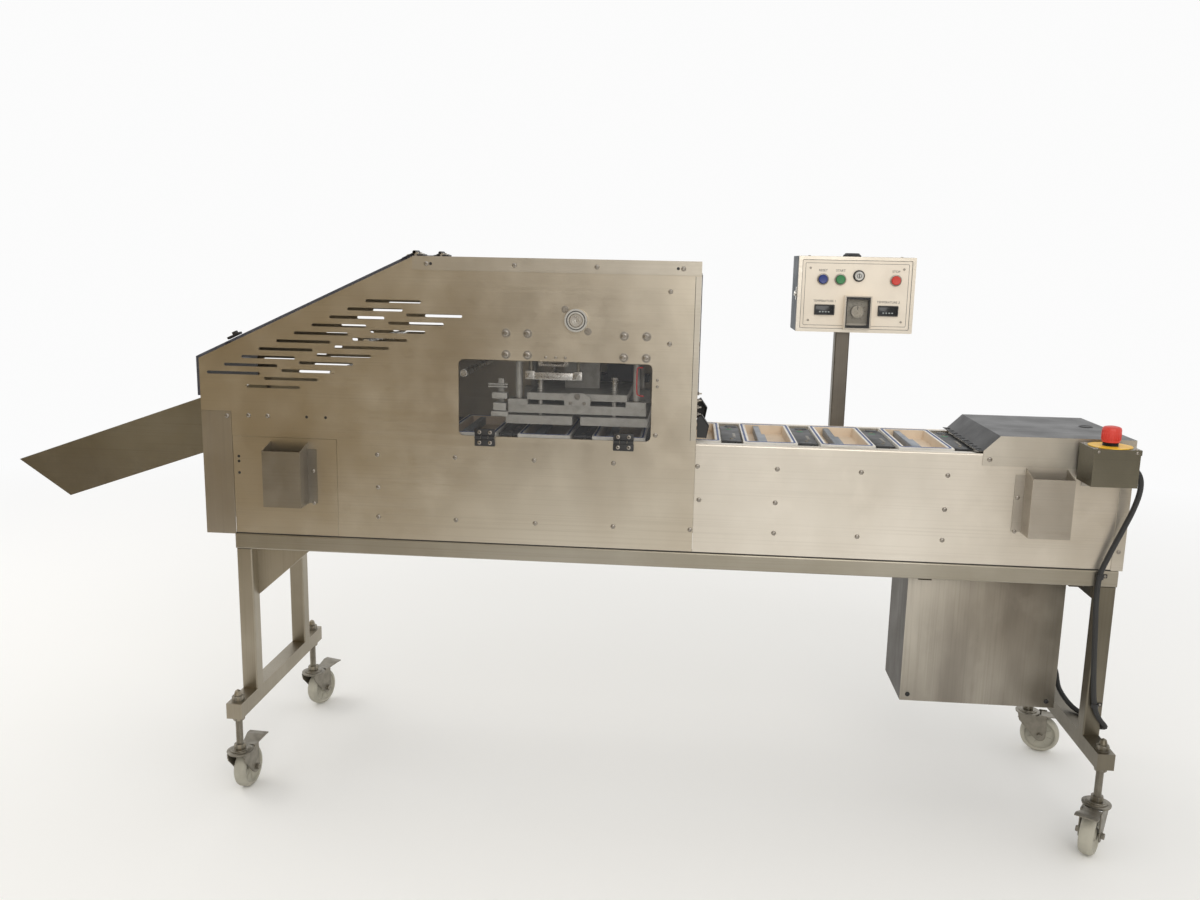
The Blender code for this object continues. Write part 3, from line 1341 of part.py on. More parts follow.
# ---------------------------------------------------------------- cabinet and controls
def make_cabinet():
    """Electrical cabinet, open at the top, hung under the rails on two straps."""
    width, depth, height = CABINET
    top = RAIL_BOTTOM - GAP
    low = (CABINET_LEFT, CABINET_FRONT, top - height)
    high = (CABINET_LEFT + width, CABINET_FRONT + depth, top)
    cabinet = add("cabinet", box(low, high, ("+z",)), STEEL)
    solidify(cabinet, SHEET)
    strap_width, strap = HANGER
    spans = ((0.004, CABINET_FRONT + SHEET / 2), (high[1] - SHEET / 2, FRAME_DEPTH - 0.004))
    for x in (CABINET_LEFT, CABINET_LEFT + width - strap_width):
        for near, far in spans:
            combine(cabinet, "UNION", box((x, near, top - strap), (x + strap_width, far, top)))


def make_control_post():
    """Upright tube on a stub arm from the back of the rear rail."""
    x = FRAME_LENGTH - POST_FROM_END - TUBE
    y = FRAME_DEPTH + POST_SET_BACK
    top = BOX_Z - GAP
    upright = extrusion(tube_outline(x, y), "xy", RAIL_BOTTOM, top)
    post = add("control_post", upright, FRAME_STEEL)
    arm_outline = [rectangle(x, RAIL_BOTTOM + 0.0005, x + TUBE, RAIL_TOP - 0.0005, TUBE_CORNER)]
    combine(post, "UNION", extrusion(arm_outline, "xz", FRAME_DEPTH + GAP, y + TUBE_WALL / 2))


def make_control_box():
    width, depth, height = BOX_SIZE
    low = (BOX_LEFT, BOX_FRONT + DOOR_DEPTH + 2 * GAP, BOX_Z)
    shell = box(low, (BOX_LEFT + width, BOX_FRONT + depth, BOX_Z + height), ("-y",))
    solidify(add("control_box", shell, STEEL), SHEET)


def control_places():
    """Centres of the controls on the door, as (x, z)."""
    return {name: (BOX_LEFT + x, BOX_Z + z) for name, (x, z) in CONTROLS.items()}


def timer_box(shrink, front_cut):
    width, depth, height = TIMER
    left, bottom = BOX_LEFT + TIMER_FROM_LEFT, BOX_Z + TIMER_BOTTOM
    front = BOX_FRONT - depth - front_cut
    back = BOX_FRONT + 0.0005 if shrink == 0 else BOX_FRONT - GAP
    return (
        (left + shrink, front, bottom + shrink),
        (left + width - shrink, back, bottom + height - shrink),
    )


def timer_knob_place():
    return (BOX_LEFT + TIMER_FROM_LEFT + TIMER[0] / 2, BOX_Z + TIMER_BOTTOM + TIMER_KNOB_HEIGHT)


def make_control_door():
    """Shallow tray that closes the control box, with the timer's open housing on its face."""
    width, _, height = BOX_SIZE
    low = (BOX_LEFT, BOX_FRONT, BOX_Z)
    high = (BOX_LEFT + width, BOX_FRONT + DOOR_DEPTH, BOX_Z + height)
    door = add("control_door", box(low, high, ("+y",)), STEEL, (*DOOR_PIN, BOX_Z))
    solidify(door, SHEET)
    combine(door, "UNION", box(*timer_box(0.0, 0.0)))
    combine(door, "DIFFERENCE", box(*timer_box(2 * SHEET, 0.01)))
    ends = (BOX_FRONT - 0.01, BOX_FRONT + 0.008)
    for place in control_places().values():
        combine(door, "DIFFERENCE", rod("y", place, *ends, BUTTON_RADIUS + BUTTON_PLAY))
    spindle_hole = rod("y", timer_knob_place(), *ends, TIMER_SPINDLE + BUTTON_PLAY, 12)
    combine(door, "DIFFERENCE", spindle_hole)


def make_controls():
    colours = {
        "reset_button": BLUE,
        "start_button": GREEN,
        "key_switch": BRIGHT,
        "stop_button": RED,
    }
    back = BOX_FRONT + SHEET + BUTTON_BEHIND
    for name, (x, z) in control_places().items():
        mesh = rod("y", (x, z), BOX_FRONT - BUTTON_PROUD, back, BUTTON_RADIUS)
        add(name, mesh, colours[name], (x, BOX_FRONT, z))
    x, z = timer_knob_place()
    grip = rod("y", (x, z), BOX_FRONT - TIMER_KNOB_RADIUS, BOX_FRONT - 0.002, TIMER_KNOB_RADIUS)
    knob = add("timer_knob", grip, BLACK, (x, BOX_FRONT, z))
    spindle = rod("y", (x, z), BOX_FRONT - 0.003, BOX_FRONT + BUTTON_BEHIND, TIMER_SPINDLE, 12)
    combine(knob, "UNION", spindle)


def make_timer_cover():
    """Clear cover over the timer, hinged along its top edge."""
    low, high = timer_box(0.0, 0.0)
    back = low[1] - GAP
    mesh = box((low[0], back - TIMER_COVER, low[2]), (high[0], back, high[2]))
    add("timer_cover", mesh, TINTED, (0.0, back, high[2]))


# ---------------------------------------------------------------- assembly
def make_machine():
    make_rails()
    make_leg_frame("leg_frame_left", 0.0, True)
    make_leg_frame("leg_frame_right", FRAME_LENGTH - TUBE, False)
    make_castors()
    make_head_sides()
    make_window_door()
    make_head_lid()
    make_entry_panel()
    make_sloped_guard()
    make_exit_guard()
    make_left_end_cover()
    make_access_panel()
    make_chute()
    make_conveyor_sides()
    make_slide_bed()
    make_chain_shaft("drive_shaft", DRIVE_SHAFT_X, BODY_REAR + SHAFT_OVERHANG)
    make_chain_shaft("tail_shaft", TAIL_SHAFT_X, BODY_REAR + SHAFT_OVERHANG / 2)
    make_carriers()
    make_end_cover()
    make_shaft_guard("shaft_guard_left", DRIVE_SHAFT_X, 1)
    make_shaft_guard("shaft_guard_right", TAIL_SHAFT_X, -1)
    make_press_shaft()
    make_crosshead()
    make_platen()
    make_bridge()
    make_stop_box()
    make_stop_button()
    make_stop_lead()
    make_cabinet()
    make_control_post()
    make_control_box()
    make_control_door()
    make_controls()
    make_timer_cover()


make_machine()
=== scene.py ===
# Finishes and fittings of an in-line heat sealer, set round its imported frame. Metres, +Z up.
import json
import math

import bmesh
import bpy
import numpy as np
from mathutils import Matrix, Vector

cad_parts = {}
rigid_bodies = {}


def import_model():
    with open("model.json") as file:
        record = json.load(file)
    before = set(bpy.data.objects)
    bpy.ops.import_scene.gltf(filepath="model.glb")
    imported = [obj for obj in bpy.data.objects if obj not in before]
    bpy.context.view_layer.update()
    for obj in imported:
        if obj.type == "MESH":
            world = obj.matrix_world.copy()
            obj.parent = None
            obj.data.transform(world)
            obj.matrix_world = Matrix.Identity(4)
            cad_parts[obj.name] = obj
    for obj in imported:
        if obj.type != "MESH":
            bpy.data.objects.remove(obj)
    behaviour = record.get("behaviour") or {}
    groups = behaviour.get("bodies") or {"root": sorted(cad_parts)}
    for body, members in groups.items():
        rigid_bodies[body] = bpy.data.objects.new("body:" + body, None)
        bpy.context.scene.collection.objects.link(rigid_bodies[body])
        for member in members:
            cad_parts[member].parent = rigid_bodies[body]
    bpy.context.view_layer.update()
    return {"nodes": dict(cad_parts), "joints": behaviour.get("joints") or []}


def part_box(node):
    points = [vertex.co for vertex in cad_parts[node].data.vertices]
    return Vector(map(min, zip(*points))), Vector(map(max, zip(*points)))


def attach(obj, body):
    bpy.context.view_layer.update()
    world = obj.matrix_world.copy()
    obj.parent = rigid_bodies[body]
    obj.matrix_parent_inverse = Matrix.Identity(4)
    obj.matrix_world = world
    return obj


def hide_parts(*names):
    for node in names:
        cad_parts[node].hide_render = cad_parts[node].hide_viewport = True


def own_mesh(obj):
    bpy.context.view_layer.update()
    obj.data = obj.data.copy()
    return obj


for leftover in list(bpy.data.objects):
    bpy.data.objects.remove(leftover, do_unlink=True)
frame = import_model()
print("frame loaded")

# Every place below is counted from the left end, front face and top of the front rail.
railLow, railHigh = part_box("rail_front")
railTop = railHigh.z
tubeSide = railHigh.z - railLow.z
bossHeight = 0.010
headLow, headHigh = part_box("head_side_front")
plateFront = headLow.y + bossHeight
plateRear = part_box("head_side_rear")[1].y - bossHeight
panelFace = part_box("access_panel")[0].y
carrierInset = 0.0305
gap = 0.0003
forward, backward = (0, -1, 0), (0, 1, 0)


def spot(x, y, above):
    return Vector((railLow.x + x, railLow.y + y, railTop + above))


def onFace(x, faceY, above):
    # as spot, but on a face whose y is known
    return Vector((railLow.x + x, faceY, railTop + above))


# Shapes: each is (points, faces), worked out on a grid of two parameters.

def gridFaces(rows, columns, closeRows=False):
    # each quad joins a grid point to the next one along both parameters
    i = np.arange(rows if closeRows else rows - 1)[:, None]
    j = np.arange(columns)[None, :]
    nextI, nextJ = (i + 1) % rows, (j + 1) % columns
    corners = (i * columns + j, i * columns + nextJ, nextI * columns + nextJ, nextI * columns + j)
    return np.stack(np.broadcast_arrays(*corners), -1).reshape(-1, 4).tolist()


def loft(rings, closed=False):
    # walls between each closed ring and the next, and a flat cap on both ends of an open stack
    rings = np.asarray(rings, float)
    count, around = rings.shape[:2]
    faces = gridFaces(count, around, closed)
    if not closed:
        faces.append(list(range(around))[::-1])
        faces.append(list(range((count - 1) * around, count * around)))
    return rings.reshape(-1, 3), faces


def lathe(profile, sides=40, closed=False):
    # profile of (radius r, height h) turned about z: (r cos a, r sin a, h)
    profile = np.asarray(profile, float)
    angle = np.linspace(0, 2 * math.pi, sides, endpoint=False)
    r, h = profile[:, :1], profile[:, 1:]
    points = np.stack([r * np.cos(angle), r * np.sin(angle), h + 0 * angle], -1)
    return points.reshape(-1, 3), gridFaces(len(profile), sides, closed)


def roundedOutline(width, height, radius, steps=5):
    # quarter arcs about the four corner centres of a rectangle round the origin
    radius = max(radius, 1e-5)
    angle = np.arange(4)[:, None] * math.pi / 2 + np.linspace(0, math.pi / 2, steps + 1)
    signs = np.array([[1, 1], [-1, 1], [-1, -1], [1, -1]])
    centres = signs * [width / 2 - radius, height / 2 - radius]
    arcs = centres[:, None, :] + radius * np.stack([np.cos(angle), np.sin(angle)], -1)
    return arcs.reshape(-1, 2)


def flatRing(width, height, radius, z, steps=5):
    # rounded rectangle laid flat at a height
    flat = roundedOutline(width, height, radius, steps)
    return np.column_stack([flat, np.full(len(flat), z)])


def slab(width, height, thickness, radius=0.001, ease=0.0004):
    # rounded rectangle carried up z, drawn in by the ease at its two faces
    third = ease * 0.3
    stack = ((ease, 0), (third, third), (0, ease), (0, thickness - ease), (third, thickness - third),
             (ease, thickness))
    return loft([flatRing(width - 2 * inset, height - 2 * inset, radius - inset, z) for inset, z in stack])


def border(outer, inner, thickness):
    # band between two rounded rectangles, each (width, height, radius), carried up z
    stack = ((outer, 0), (outer, thickness), (inner, thickness), (inner, 0))
    return loft([flatRing(*size, z) for size, z in stack], closed=True)


def rectangle(left, low, right, high):
    return [(left, low), (right, low), (right, high), (left, high)]


def prism(outline, near, far, plane="xz"):
    # flat outline carried straight along the third axis from near to far
    outline = np.asarray(outline, float)
    across, up = outline[:, 0], outline[:, 1]
    third = [np.full(len(outline), value) for value in (near, far)]
    if plane == "xz":
        return loft([np.column_stack([across, y, up]) for y in third])
    return loft([np.column_stack([x, across, up]) for x in third])


def smoothLine(points, steps=6):
    # Catmull-Rom curve through every point of a route
    route = np.asarray(points, float)
    ends = np.vstack([2 * route[0] - route[1], route, 2 * route[-1] - route[-2]])
    t = np.linspace(0, 1, steps, endpoint=False)[None, :, None]
    p0, p1, p2, p3 = (ends[k:len(route) - 1 + k][:, None, :] for k in range(4))
    curve = 0.5 * (2 * p1 + (p2 - p0) * t + (2 * p0 - 5 * p1 + 4 * p2 - p3) * t ** 2
                   + (3 * p1 - p0 - 3 * p2 + p3) * t ** 3)
    return np.vstack([curve.reshape(-1, 3), route[-1]])


def pipe(line, radius, sides=12):
    # circle carried along a line: p + r (n cos a + b sin a), n kept from turning between points
    line = np.asarray(line, float)
    tangents = np.gradient(line, axis=0)
    tangents /= np.linalg.norm(tangents, axis=1)[:, None]
    normal = np.cross(tangents[0], [0.31, 0.17, 0.94])
    normals = []
    for tangent in tangents:
        normal = normal - tangent * (normal @ tangent)
        normal = normal / np.linalg.norm(normal)
        normals.append(normal)
    normals = np.array(normals)
    angle = np.linspace(0, 2 * math.pi, sides, endpoint=False)[None, :, None]
    rings = line[:, None, :] + radius * (normals[:, None, :] * np.cos(angle)
                                         + np.cross(tangents, normals)[:, None, :] * np.sin(angle))
    return loft(rings)


def screwHead(radius):
    # domed head with a sunk socket: floor, socket wall, crown, shoulder, seat
    high = radius * 0.55
    return lathe([(0, high * 0.4), (radius * 0.42, high * 0.4), (radius * 0.45, high),
                  (radius * 0.7, high * 0.85), (radius * 0.92, high * 0.5), (radius, high * 0.15),
                  (radius, -0.0004), (0, -0.0004)], 20)


def flatScrew(radius):
    # countersunk head with a faint dish
    return lathe([(0, 0), (radius * 0.35, 0), (radius * 0.4, 0.0006), (radius * 0.9, 0.0005),
                  (radius, 0.0002), (radius, -0.0004), (0, -0.0004)], 20)


def hexagon(flats, height, chamfer=0.12):
    # six-sided prism, its corners taken off at both faces
    corner = flats / 2 / math.cos(math.pi / 6)
    cut = height * chamfer
    return lathe([(0, 0), (corner * 0.9, 0), (corner, cut), (corner, height - cut), (corner * 0.9, height),
                  (0, height)], 6)


def washer(radius, height):
    return lathe([(0, 0), (radius, 0), (radius, height * 0.7), (radius * 0.94, height), (0, height)], 24)


def knuckle(radius, length):
    # round barrel with eased ends, along z
    ease = radius * 0.15
    return lathe([(0, 0), (radius - ease, 0), (radius, ease), (radius, length - ease),
                  (radius - ease, length), (0, length)], 28)


def moved(shape, place=(0, 0, 0), facing=(0, 0, 1), spin=0.0):
    # the shape's own z is turned to the facing direction, after a spin about it
    points, faces = shape
    turn = Vector((0, 0, 1)).rotation_difference(Vector(facing)).to_matrix() @ Matrix.Rotation(spin, 3, "Z")
    return points @ np.array(turn).T + np.array(place), faces


def onFront(shape, place):
    # the shape's x stays x, its y goes up and its z comes forward
    points, faces = shape
    return np.column_stack([points[:, 0], -points[:, 2], points[:, 1]]) + np.array(place), faces


def screwRow(radius, places, faceY, facing=forward, spin=0):
    # domed screws on one upright face, each socket turned by its own distance along the frame
    return [moved(screwHead(radius), onFace(x, faceY, h), facing, x * spin) for x, h in places]


def makePiece(name, shapes, finish, body="machine_frame", smoothTo=32):
    points, faces, start = [], [], 0
    for shapePoints, shapeFaces in shapes:
        points.append(shapePoints)
        faces += [[index + start for index in face] for face in shapeFaces]
        start += len(shapePoints)
    mesh = bpy.data.meshes.new(name)
    mesh.from_pydata(np.vstack(points).tolist(), [], faces)
    work = bmesh.new()
    work.from_mesh(mesh)
    bmesh.ops.remove_doubles(work, verts=work.verts, dist=1e-6)
    bmesh.ops.dissolve_degenerate(work, edges=work.edges, dist=1e-7)
    bmesh.ops.recalc_face_normals(work, faces=work.faces)
    work.to_mesh(mesh)
    work.free()
    mesh.shade_smooth()
    mesh.set_sharp_from_angle(angle=math.radians(smoothTo))
    mesh.materials.append(finishes[finish])
    piece = bpy.data.objects.new(name, mesh)
    bpy.context.scene.collection.objects.link(piece)
    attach(piece, body)
    return piece


# Finishes.

def newFinish(name, colour, roughness, metallic=0.0):
    finish = bpy.data.materials.new(name)
    finish.use_nodes = True
    shader = finish.node_tree.nodes["Principled BSDF"]
    shader.inputs["Base Color"].default_value = (*colour, 1)
    shader.inputs["Roughness"].default_value = roughness
    shader.inputs["Metallic"].default_value = metallic
    return finish, finish.node_tree, shader


def grainNoise(tree, perMetre, detail=3.0, shift=0.0):
    # noise in the piece's own metres; a larger number makes it finer along that axis
    coordinates = tree.nodes.new("ShaderNodeTexCoord")
    mapping = tree.nodes.new("ShaderNodeMapping")
    mapping.inputs["Scale"].default_value = perMetre
    mapping.inputs["Location"].default_value = (shift, shift * 2, shift * 3)
    texture = tree.nodes.new("ShaderNodeTexNoise")
    texture.inputs["Scale"].default_value = 1.0
    texture.inputs["Detail"].default_value = detail
    tree.links.new(coordinates.outputs["Object"], mapping.inputs["Vector"])
    tree.links.new(mapping.outputs["Vector"], texture.inputs["Vector"])
    return texture.outputs["Fac"]


def stretched(tree, value, fromLow, fromHigh, low, high):
    node = tree.nodes.new("ShaderNodeMapRange")
    for socket, number in zip(("From Min", "From Max", "To Min", "To Max"), (fromLow, fromHigh, low, high)):
        node.inputs[socket].default_value = number
    tree.links.new(value, node.inputs["Value"])
    return node.outputs["Result"]


def combined(tree, operation, first, second):
    node = tree.nodes.new("ShaderNodeMath")
    node.operation = operation
    tree.links.new(first, node.inputs[0])
    tree.links.new(second, node.inputs[1])
    return node.outputs[0]


def mixed(tree, factor, first, second):
    node = tree.nodes.new("ShaderNodeMix")
    node.data_type = "RGBA"
    tree.links.new(factor, node.inputs[0])
    for socket, colour in ((6, first), (7, second)):
        if isinstance(colour, bpy.types.NodeSocket):
            tree.links.new(colour, node.inputs[socket])
        else:
            node.inputs[socket].default_value = (*colour, 1)
    return node.outputs[2]


def chosen(tree, factor, first, second, output):
    # the second shader where the factor is 1, the first where it is 0
    node = tree.nodes.new("ShaderNodeMixShader")
    for index, socket in enumerate((factor, first, second)):
        tree.links.new(socket, node.inputs[index])
    tree.links.new(node.outputs[0], tree.nodes[output].inputs["Surface"])


def addBump(tree, shader, height, distance, strength):
    node = tree.nodes.new("ShaderNodeBump")
    node.inputs["Strength"].default_value = strength
    node.inputs["Distance"].default_value = distance
    tree.links.new(height, node.inputs["Height"])
    if shader.inputs["Normal"].is_linked:
        tree.links.new(shader.inputs["Normal"].links[0].from_socket, node.inputs["Normal"])
    tree.links.new(node.outputs["Normal"], shader.inputs["Normal"])


# noise frequencies per metre, across and along the grain, and how strongly each shows
brushLook = {"fine": (1500.0, 9.0), "streak": (260.0, 2.4), "smudge": (14, 14, 11), "streakMix": 0.26,
             "smudgeMix": 0.25, "darker": 0.86, "brighter": 1.12}


def brushedSteel(name, clean, stained, roughness, grain="x", upwardShade=None, blotch=(2.6, 2.6, 2.1), stain=0.66):
    # fine lines along the grain in bump and gloss, wider streaks and handling marks in the colour,
    # and where asked a darker colour painted on the faces that look upwards: painted shade for a dark overhead
    # mirrored in them
    finish, tree, shader = newFinish(name, clean, roughness, 1.0)
    look = brushLook
    fine, streak = [look["fine"][0]] * 3, [look["streak"][0]] * 3
    fine["xyz".index(grain)], streak["xyz".index(grain)] = look["fine"][1], look["streak"][1]
    fineLines = grainNoise(tree, fine, 2.0)
    streaks = grainNoise(tree, streak, 4.0, 3.1)
    marks = grainNoise(tree, blotch, 5.0, 7.7)
    smudges = grainNoise(tree, look["smudge"], 6.0, 1.3)
    colour = mixed(tree, stretched(tree, marks, 0.40, stain, 0, 1), clean, stained)
    shade = [part * look["darker"] for part in stained]
    colour = mixed(tree, stretched(tree, streaks, 0.50, 0.72, 0, look["streakMix"]), colour, shade)
    bright = [min(part * look["brighter"], 0.95) for part in clean]
    colour = mixed(tree, stretched(tree, smudges, 0.56, 0.74, 0, look["smudgeMix"]), colour, bright)
    # painted shade: faces that look upwards take a darker colour, standing in for a dark overhead they would
    # mirror
    if upwardShade:
        facing = tree.nodes.new("ShaderNodeSeparateXYZ")
        tree.links.new(tree.nodes.new("ShaderNodeNewGeometry").outputs["Normal"], facing.inputs[0])
        colour = mixed(tree, stretched(tree, facing.outputs["Z"], 0.35, 0.6, 0, 1), colour, upwardShade)
    tree.links.new(colour, shader.inputs["Base Color"])
    gloss = stretched(tree, streaks, 0.25, 0.75, roughness - 0.03, roughness + 0.05)
    uneven = combined(tree, "ADD", gloss, stretched(tree, smudges, 0.35, 0.75, -0.03, 0.07))
    tree.links.new(uneven, shader.inputs["Roughness"])
    addBump(tree, shader, fineLines, 0.00006, 0.6)
    addBump(tree, shader, streaks, 0.00004, 0.25)
    return finish


def turnedSteel(name, colour, roughness, metallic=1.0):
    # bright machined or plated metal with faint tool marks and duller patches
    finish, tree, shader = newFinish(name, colour, roughness, metallic)
    dull = grainNoise(tree, (60, 60, 60), 4.0, 2.2)
    marks = grainNoise(tree, (900, 900, 900), 2.0, 5.0)
    darker = [part * 0.62 for part in colour]
    patches = mixed(tree, stretched(tree, dull, 0.42, 0.7, 0, 0.45), colour, darker)
    tree.links.new(patches, shader.inputs["Base Color"])
    tree.links.new(stretched(tree, dull, 0.3, 0.7, roughness, roughness + 0.18), shader.inputs["Roughness"])
    addBump(tree, shader, marks, 0.00004, 0.5)
    return finish


def mouldedPlastic(name, colour, roughness, grime, grainSize=900, bump=0.00004):
    # fine moulded texture, with a little dust lying in broad soft patches
    finish, tree, shader = newFinish(name, colour, roughness)
    dust = grainNoise(tree, (22, 22, 22), 5.0, 4.4)
    texture = grainNoise(tree, (grainSize,) * 3, 2.0, 9.0)
    soiled = [part * 0.7 + 0.012 for part in colour]
    patches = mixed(tree, stretched(tree, dust, 0.45, 0.75, 0, grime * 2), colour, soiled)
    tree.links.new(patches, shader.inputs["Base Color"])
    gloss = stretched(tree, dust, 0.3, 0.7, roughness - 0.04, roughness + 0.12)
    tree.links.new(gloss, shader.inputs["Roughness"])
    addBump(tree, shader, texture, bump, 0.6)
    return finish


def tintedSheet(name, colour, alpha):
    # smoked clear sheet: dark gloss over what lies behind, wiped marks in its gloss
    finish, tree, shader = newFinish(name, colour, 0.06)
    shader.inputs["Alpha"].default_value = alpha
    wiped = grainNoise(tree, (7, 7, 18), 5.0, 6.0)
    scratches = grainNoise(tree, (30, 900, 900), 2.0, 8.0)
    tree.links.new(stretched(tree, wiped, 0.35, 0.75, 0.04, 0.22), shader.inputs["Roughness"])
    addBump(tree, shader, scratches, 0.00002, 0.3)
    return finish


finishLooks = {
    brushedSteel: {  # clean colour, stained colour, roughness, grain, painted shade colour for upward faces, blotches, stain
        "sheetSteel": ((0.60, 0.55, 0.46), (0.50, 0.44, 0.35), 0.34),
        # lid: upward faces painted darker, painted shade as on the hood
        "lidSteel": ((0.58, 0.54, 0.47), (0.48, 0.44, 0.37), 0.38, "x", (0.40, 0.38, 0.34)),
        "conveyorSteel": ((0.75, 0.70, 0.62), (0.62, 0.57, 0.49), 0.34),
        "coverSteel": ((0.48, 0.45, 0.40), (0.38, 0.34, 0.29), 0.38, "z"),
        "chuteSteel": ((0.33, 0.31, 0.26), (0.25, 0.23, 0.19), 0.40),
        "guardSteel": ((0.40, 0.375, 0.335), (0.31, 0.285, 0.25), 0.35),
        # right shaft guard: the guard steel made lighter for that guard only, painted light on the lit side
        "rightGuardSteel": ((0.53, 0.49, 0.43), (0.42, 0.385, 0.335), 0.35),
        # hood: near-black colour on its upward and sloped faces, a painted reflection of a dark overhead
        "hoodSteel": ((0.63, 0.59, 0.52), (0.51, 0.475, 0.41), 0.36, "x", (0.05, 0.05, 0.05)),
        "railSteel": ((0.40, 0.37, 0.31), (0.31, 0.28, 0.22), 0.38),
        # leg steel in a lighter copy for the left legs and a darker copy for the right legs: painted light and
        # painted shade
        "legSteel": ((0.40, 0.36, 0.29), (0.30, 0.265, 0.205), 0.40, "z"),
        "rightLegSteel": ((0.20, 0.18, 0.14), (0.14, 0.125, 0.095), 0.40, "z"),
        "cabinetSteel": ((0.46, 0.425, 0.365), (0.26, 0.235, 0.20), 0.38, "z", None, (6.0, 6.0, 1.3), 0.62),
        "cabinetShade": ((0.075, 0.065, 0.052), (0.05, 0.043, 0.034), 0.42, "z"),
        "stopBoxSteel": ((0.25, 0.238, 0.19), (0.18, 0.17, 0.135), 0.34),
        "postSteel": ((0.21, 0.19, 0.165), (0.14, 0.125, 0.105), 0.38, "z"),
    },
    turnedSteel: {  # colour, roughness, metallic
        "brightSteel": ((0.74, 0.72, 0.68), 0.20),
        "zincScrew": ((0.40, 0.37, 0.33), 0.30),
        "castorZinc": ((0.27, 0.25, 0.21), 0.36),
        "platenSteel": ((0.46, 0.445, 0.41), 0.38, 0.5),
        "keyNickel": ((0.62, 0.62, 0.60), 0.45),
    },
    mouldedPlastic: {  # colour, roughness, grime, texture per metre, bump
        "nylon": ((0.40, 0.38, 0.31), 0.52, 0.5, 400, 0.0001),
        "frameWhite": ((0.83, 0.80, 0.74), 0.42, 0.3),
        "linerBeige": ((0.74, 0.60, 0.45), 0.55, 0.2),
        "sealBlue": ((0.018, 0.060, 0.215), 0.45, 0.15),
        "dividerGrey": ((0.22, 0.25, 0.29), 0.40, 0.3),
        "linkBlack": ((0.045, 0.047, 0.050), 0.48, 0.6),
        "black": ((0.018, 0.018, 0.019), 0.42, 0.4),
        "rubber": ((0.022, 0.022, 0.022), 0.62, 0.5),
        "panelCream": ((0.84, 0.755, 0.635), 0.42, 0.10),
        "boxPaint": ((0.012, 0.026, 0.042), 0.45, 0.2),
        "ink": ((0.06, 0.06, 0.07), 0.6, 0.1),
        "display": ((0.015, 0.018, 0.022), 0.12, 0.1, 900, 0.00001),
        "digits": ((0.35, 0.38, 0.38), 0.4, 0.1),
        "dialGrey": ((0.55, 0.50, 0.41), 0.35, 0.15),
        "red": ((0.62, 0.045, 0.03), 0.34, 0.15),
        "green": ((0.03, 0.22, 0.07), 0.30, 0.15),
        "blue": ((0.02, 0.04, 0.20), 0.30, 0.15),
        "yellow": ((0.84, 0.50, 0.03), 0.40, 0.2),
        "greenMark": ((0.02, 0.24, 0.09), 0.4, 0.1),
        "redWire": ((0.55, 0.03, 0.03), 0.4, 0.1),
    },
    tintedSheet: {  # colour, how much it hides
        "windowTint": ((0.10, 0.103, 0.11), 0.15),
        "guardTint": ((0.012, 0.012, 0.022), 0.80),
        "timerClear": ((0.06, 0.06, 0.06), 0.12),
    },
}
finishes = {name: maker(name, *look) for maker, looks in finishLooks.items() for name, look in looks.items()}

# finish of each frame node, by the start of its name; the first match wins
nodeFinishes = {
    "head_side": "sheetSteel", "head_lid": "lidSteel", "entry_panel": "sheetSteel",
    "access_panel": "sheetSteel", "left_end_cover": "coverSteel", "outfeed_chute": "chuteSteel",
    "conveyor_side": "conveyorSteel", "end_cover": "hoodSteel", "shaft_guard_right": "rightGuardSteel",
    "shaft_guard": "guardSteel", "rail": "railSteel", "leg_frame_right": "rightLegSteel",
    "leg_frame": "legSteel", "cabinet": "cabinetShade", "estop_box": "stopBoxSteel",
    "control_post": "postSteel", "control_box": "boxPaint", "control_door": "panelCream",
    "slide_bed": "railSteel", "press_bridge": "railSteel", "press": "platenSteel", "heater": "platenSteel",
    "drive_shaft": "brightSteel", "tail_shaft": "brightSteel", "castor_wheel": "nylon",
    "castor": "castorZinc", "carrier": "frameWhite", "window_door": "windowTint",
    "sloped_guard": "guardTint", "exit_guard": "guardTint", "timer_cover": "timerClear",
    "timer_knob": "black", "estop_lead": "rubber", "estop_plate": "yellow", "estop_button": "red",
    "stop_button": "red", "start_button": "green", "reset_button": "blue", "key_switch": "keyNickel",
}

for nodeName, node in frame["nodes"].items():
    look = next(look for start, look in nodeFinishes.items() if nodeName.startswith(start))
    node.data.materials.clear()
    node.data.materials.append(finishes[look])
    node.data.shade_smooth()
    node.data.set_sharp_from_angle(angle=math.radians(30))
print("finishes made")

# Stage: camera, floor, lights.

cameraLook = {"lens": 31.09, "sensor": 36.0, "from": (1.0809, -2.3476, 0.6692), "yaw": 4.86, "pitch": -10.40,
              "roll": -1.16}


def makeCamera(look):
    data = bpy.data.cameras.new("camera")
    data.lens = look["lens"]
    data.sensor_width = look["sensor"]
    camera = bpy.data.objects.new("camera", data)
    bpy.context.scene.collection.objects.link(camera)
    yaw, pitch, roll = (math.radians(look[key]) for key in ("yaw", "pitch", "roll"))
    turn = Matrix.Rotation(yaw, 3, "Z") @ Matrix.Rotation(pitch, 3, "X") @ Matrix.Rotation(roll, 3, "Y")
    right, ahead, up = (turn @ Vector(axis) for axis in ((1, 0, 0), (0, 1, 0), (0, 0, 1)))
    facing = Matrix((right, up, -ahead)).transposed().to_4x4()
    camera.matrix_world = Matrix.Translation(spot(*look["from"])) @ facing
    bpy.context.scene.camera = camera


lightLook = {
    "sky": (0.86, 0.855, 0.84),
    "backdrop": (0.97, 0.97, 0.97),
    "floor": (0.93, 0.925, 0.91),
    "floorRings": (0, 2, 6, 15, 40),
    "fade": (1.5, 5.0),
    "aim": (0, 0, 0.8),
    "keyLamp": {"place": (0.9, -3.7, 2.5), "size": 2.4, "power": 42, "colour": (1.0, 0.96, 0.90)},
    "sideLamp": {"place": (-3.6, 1.0, 2.6), "size": 2.0, "power": 22, "colour": (1.0, 0.97, 0.92)},
}


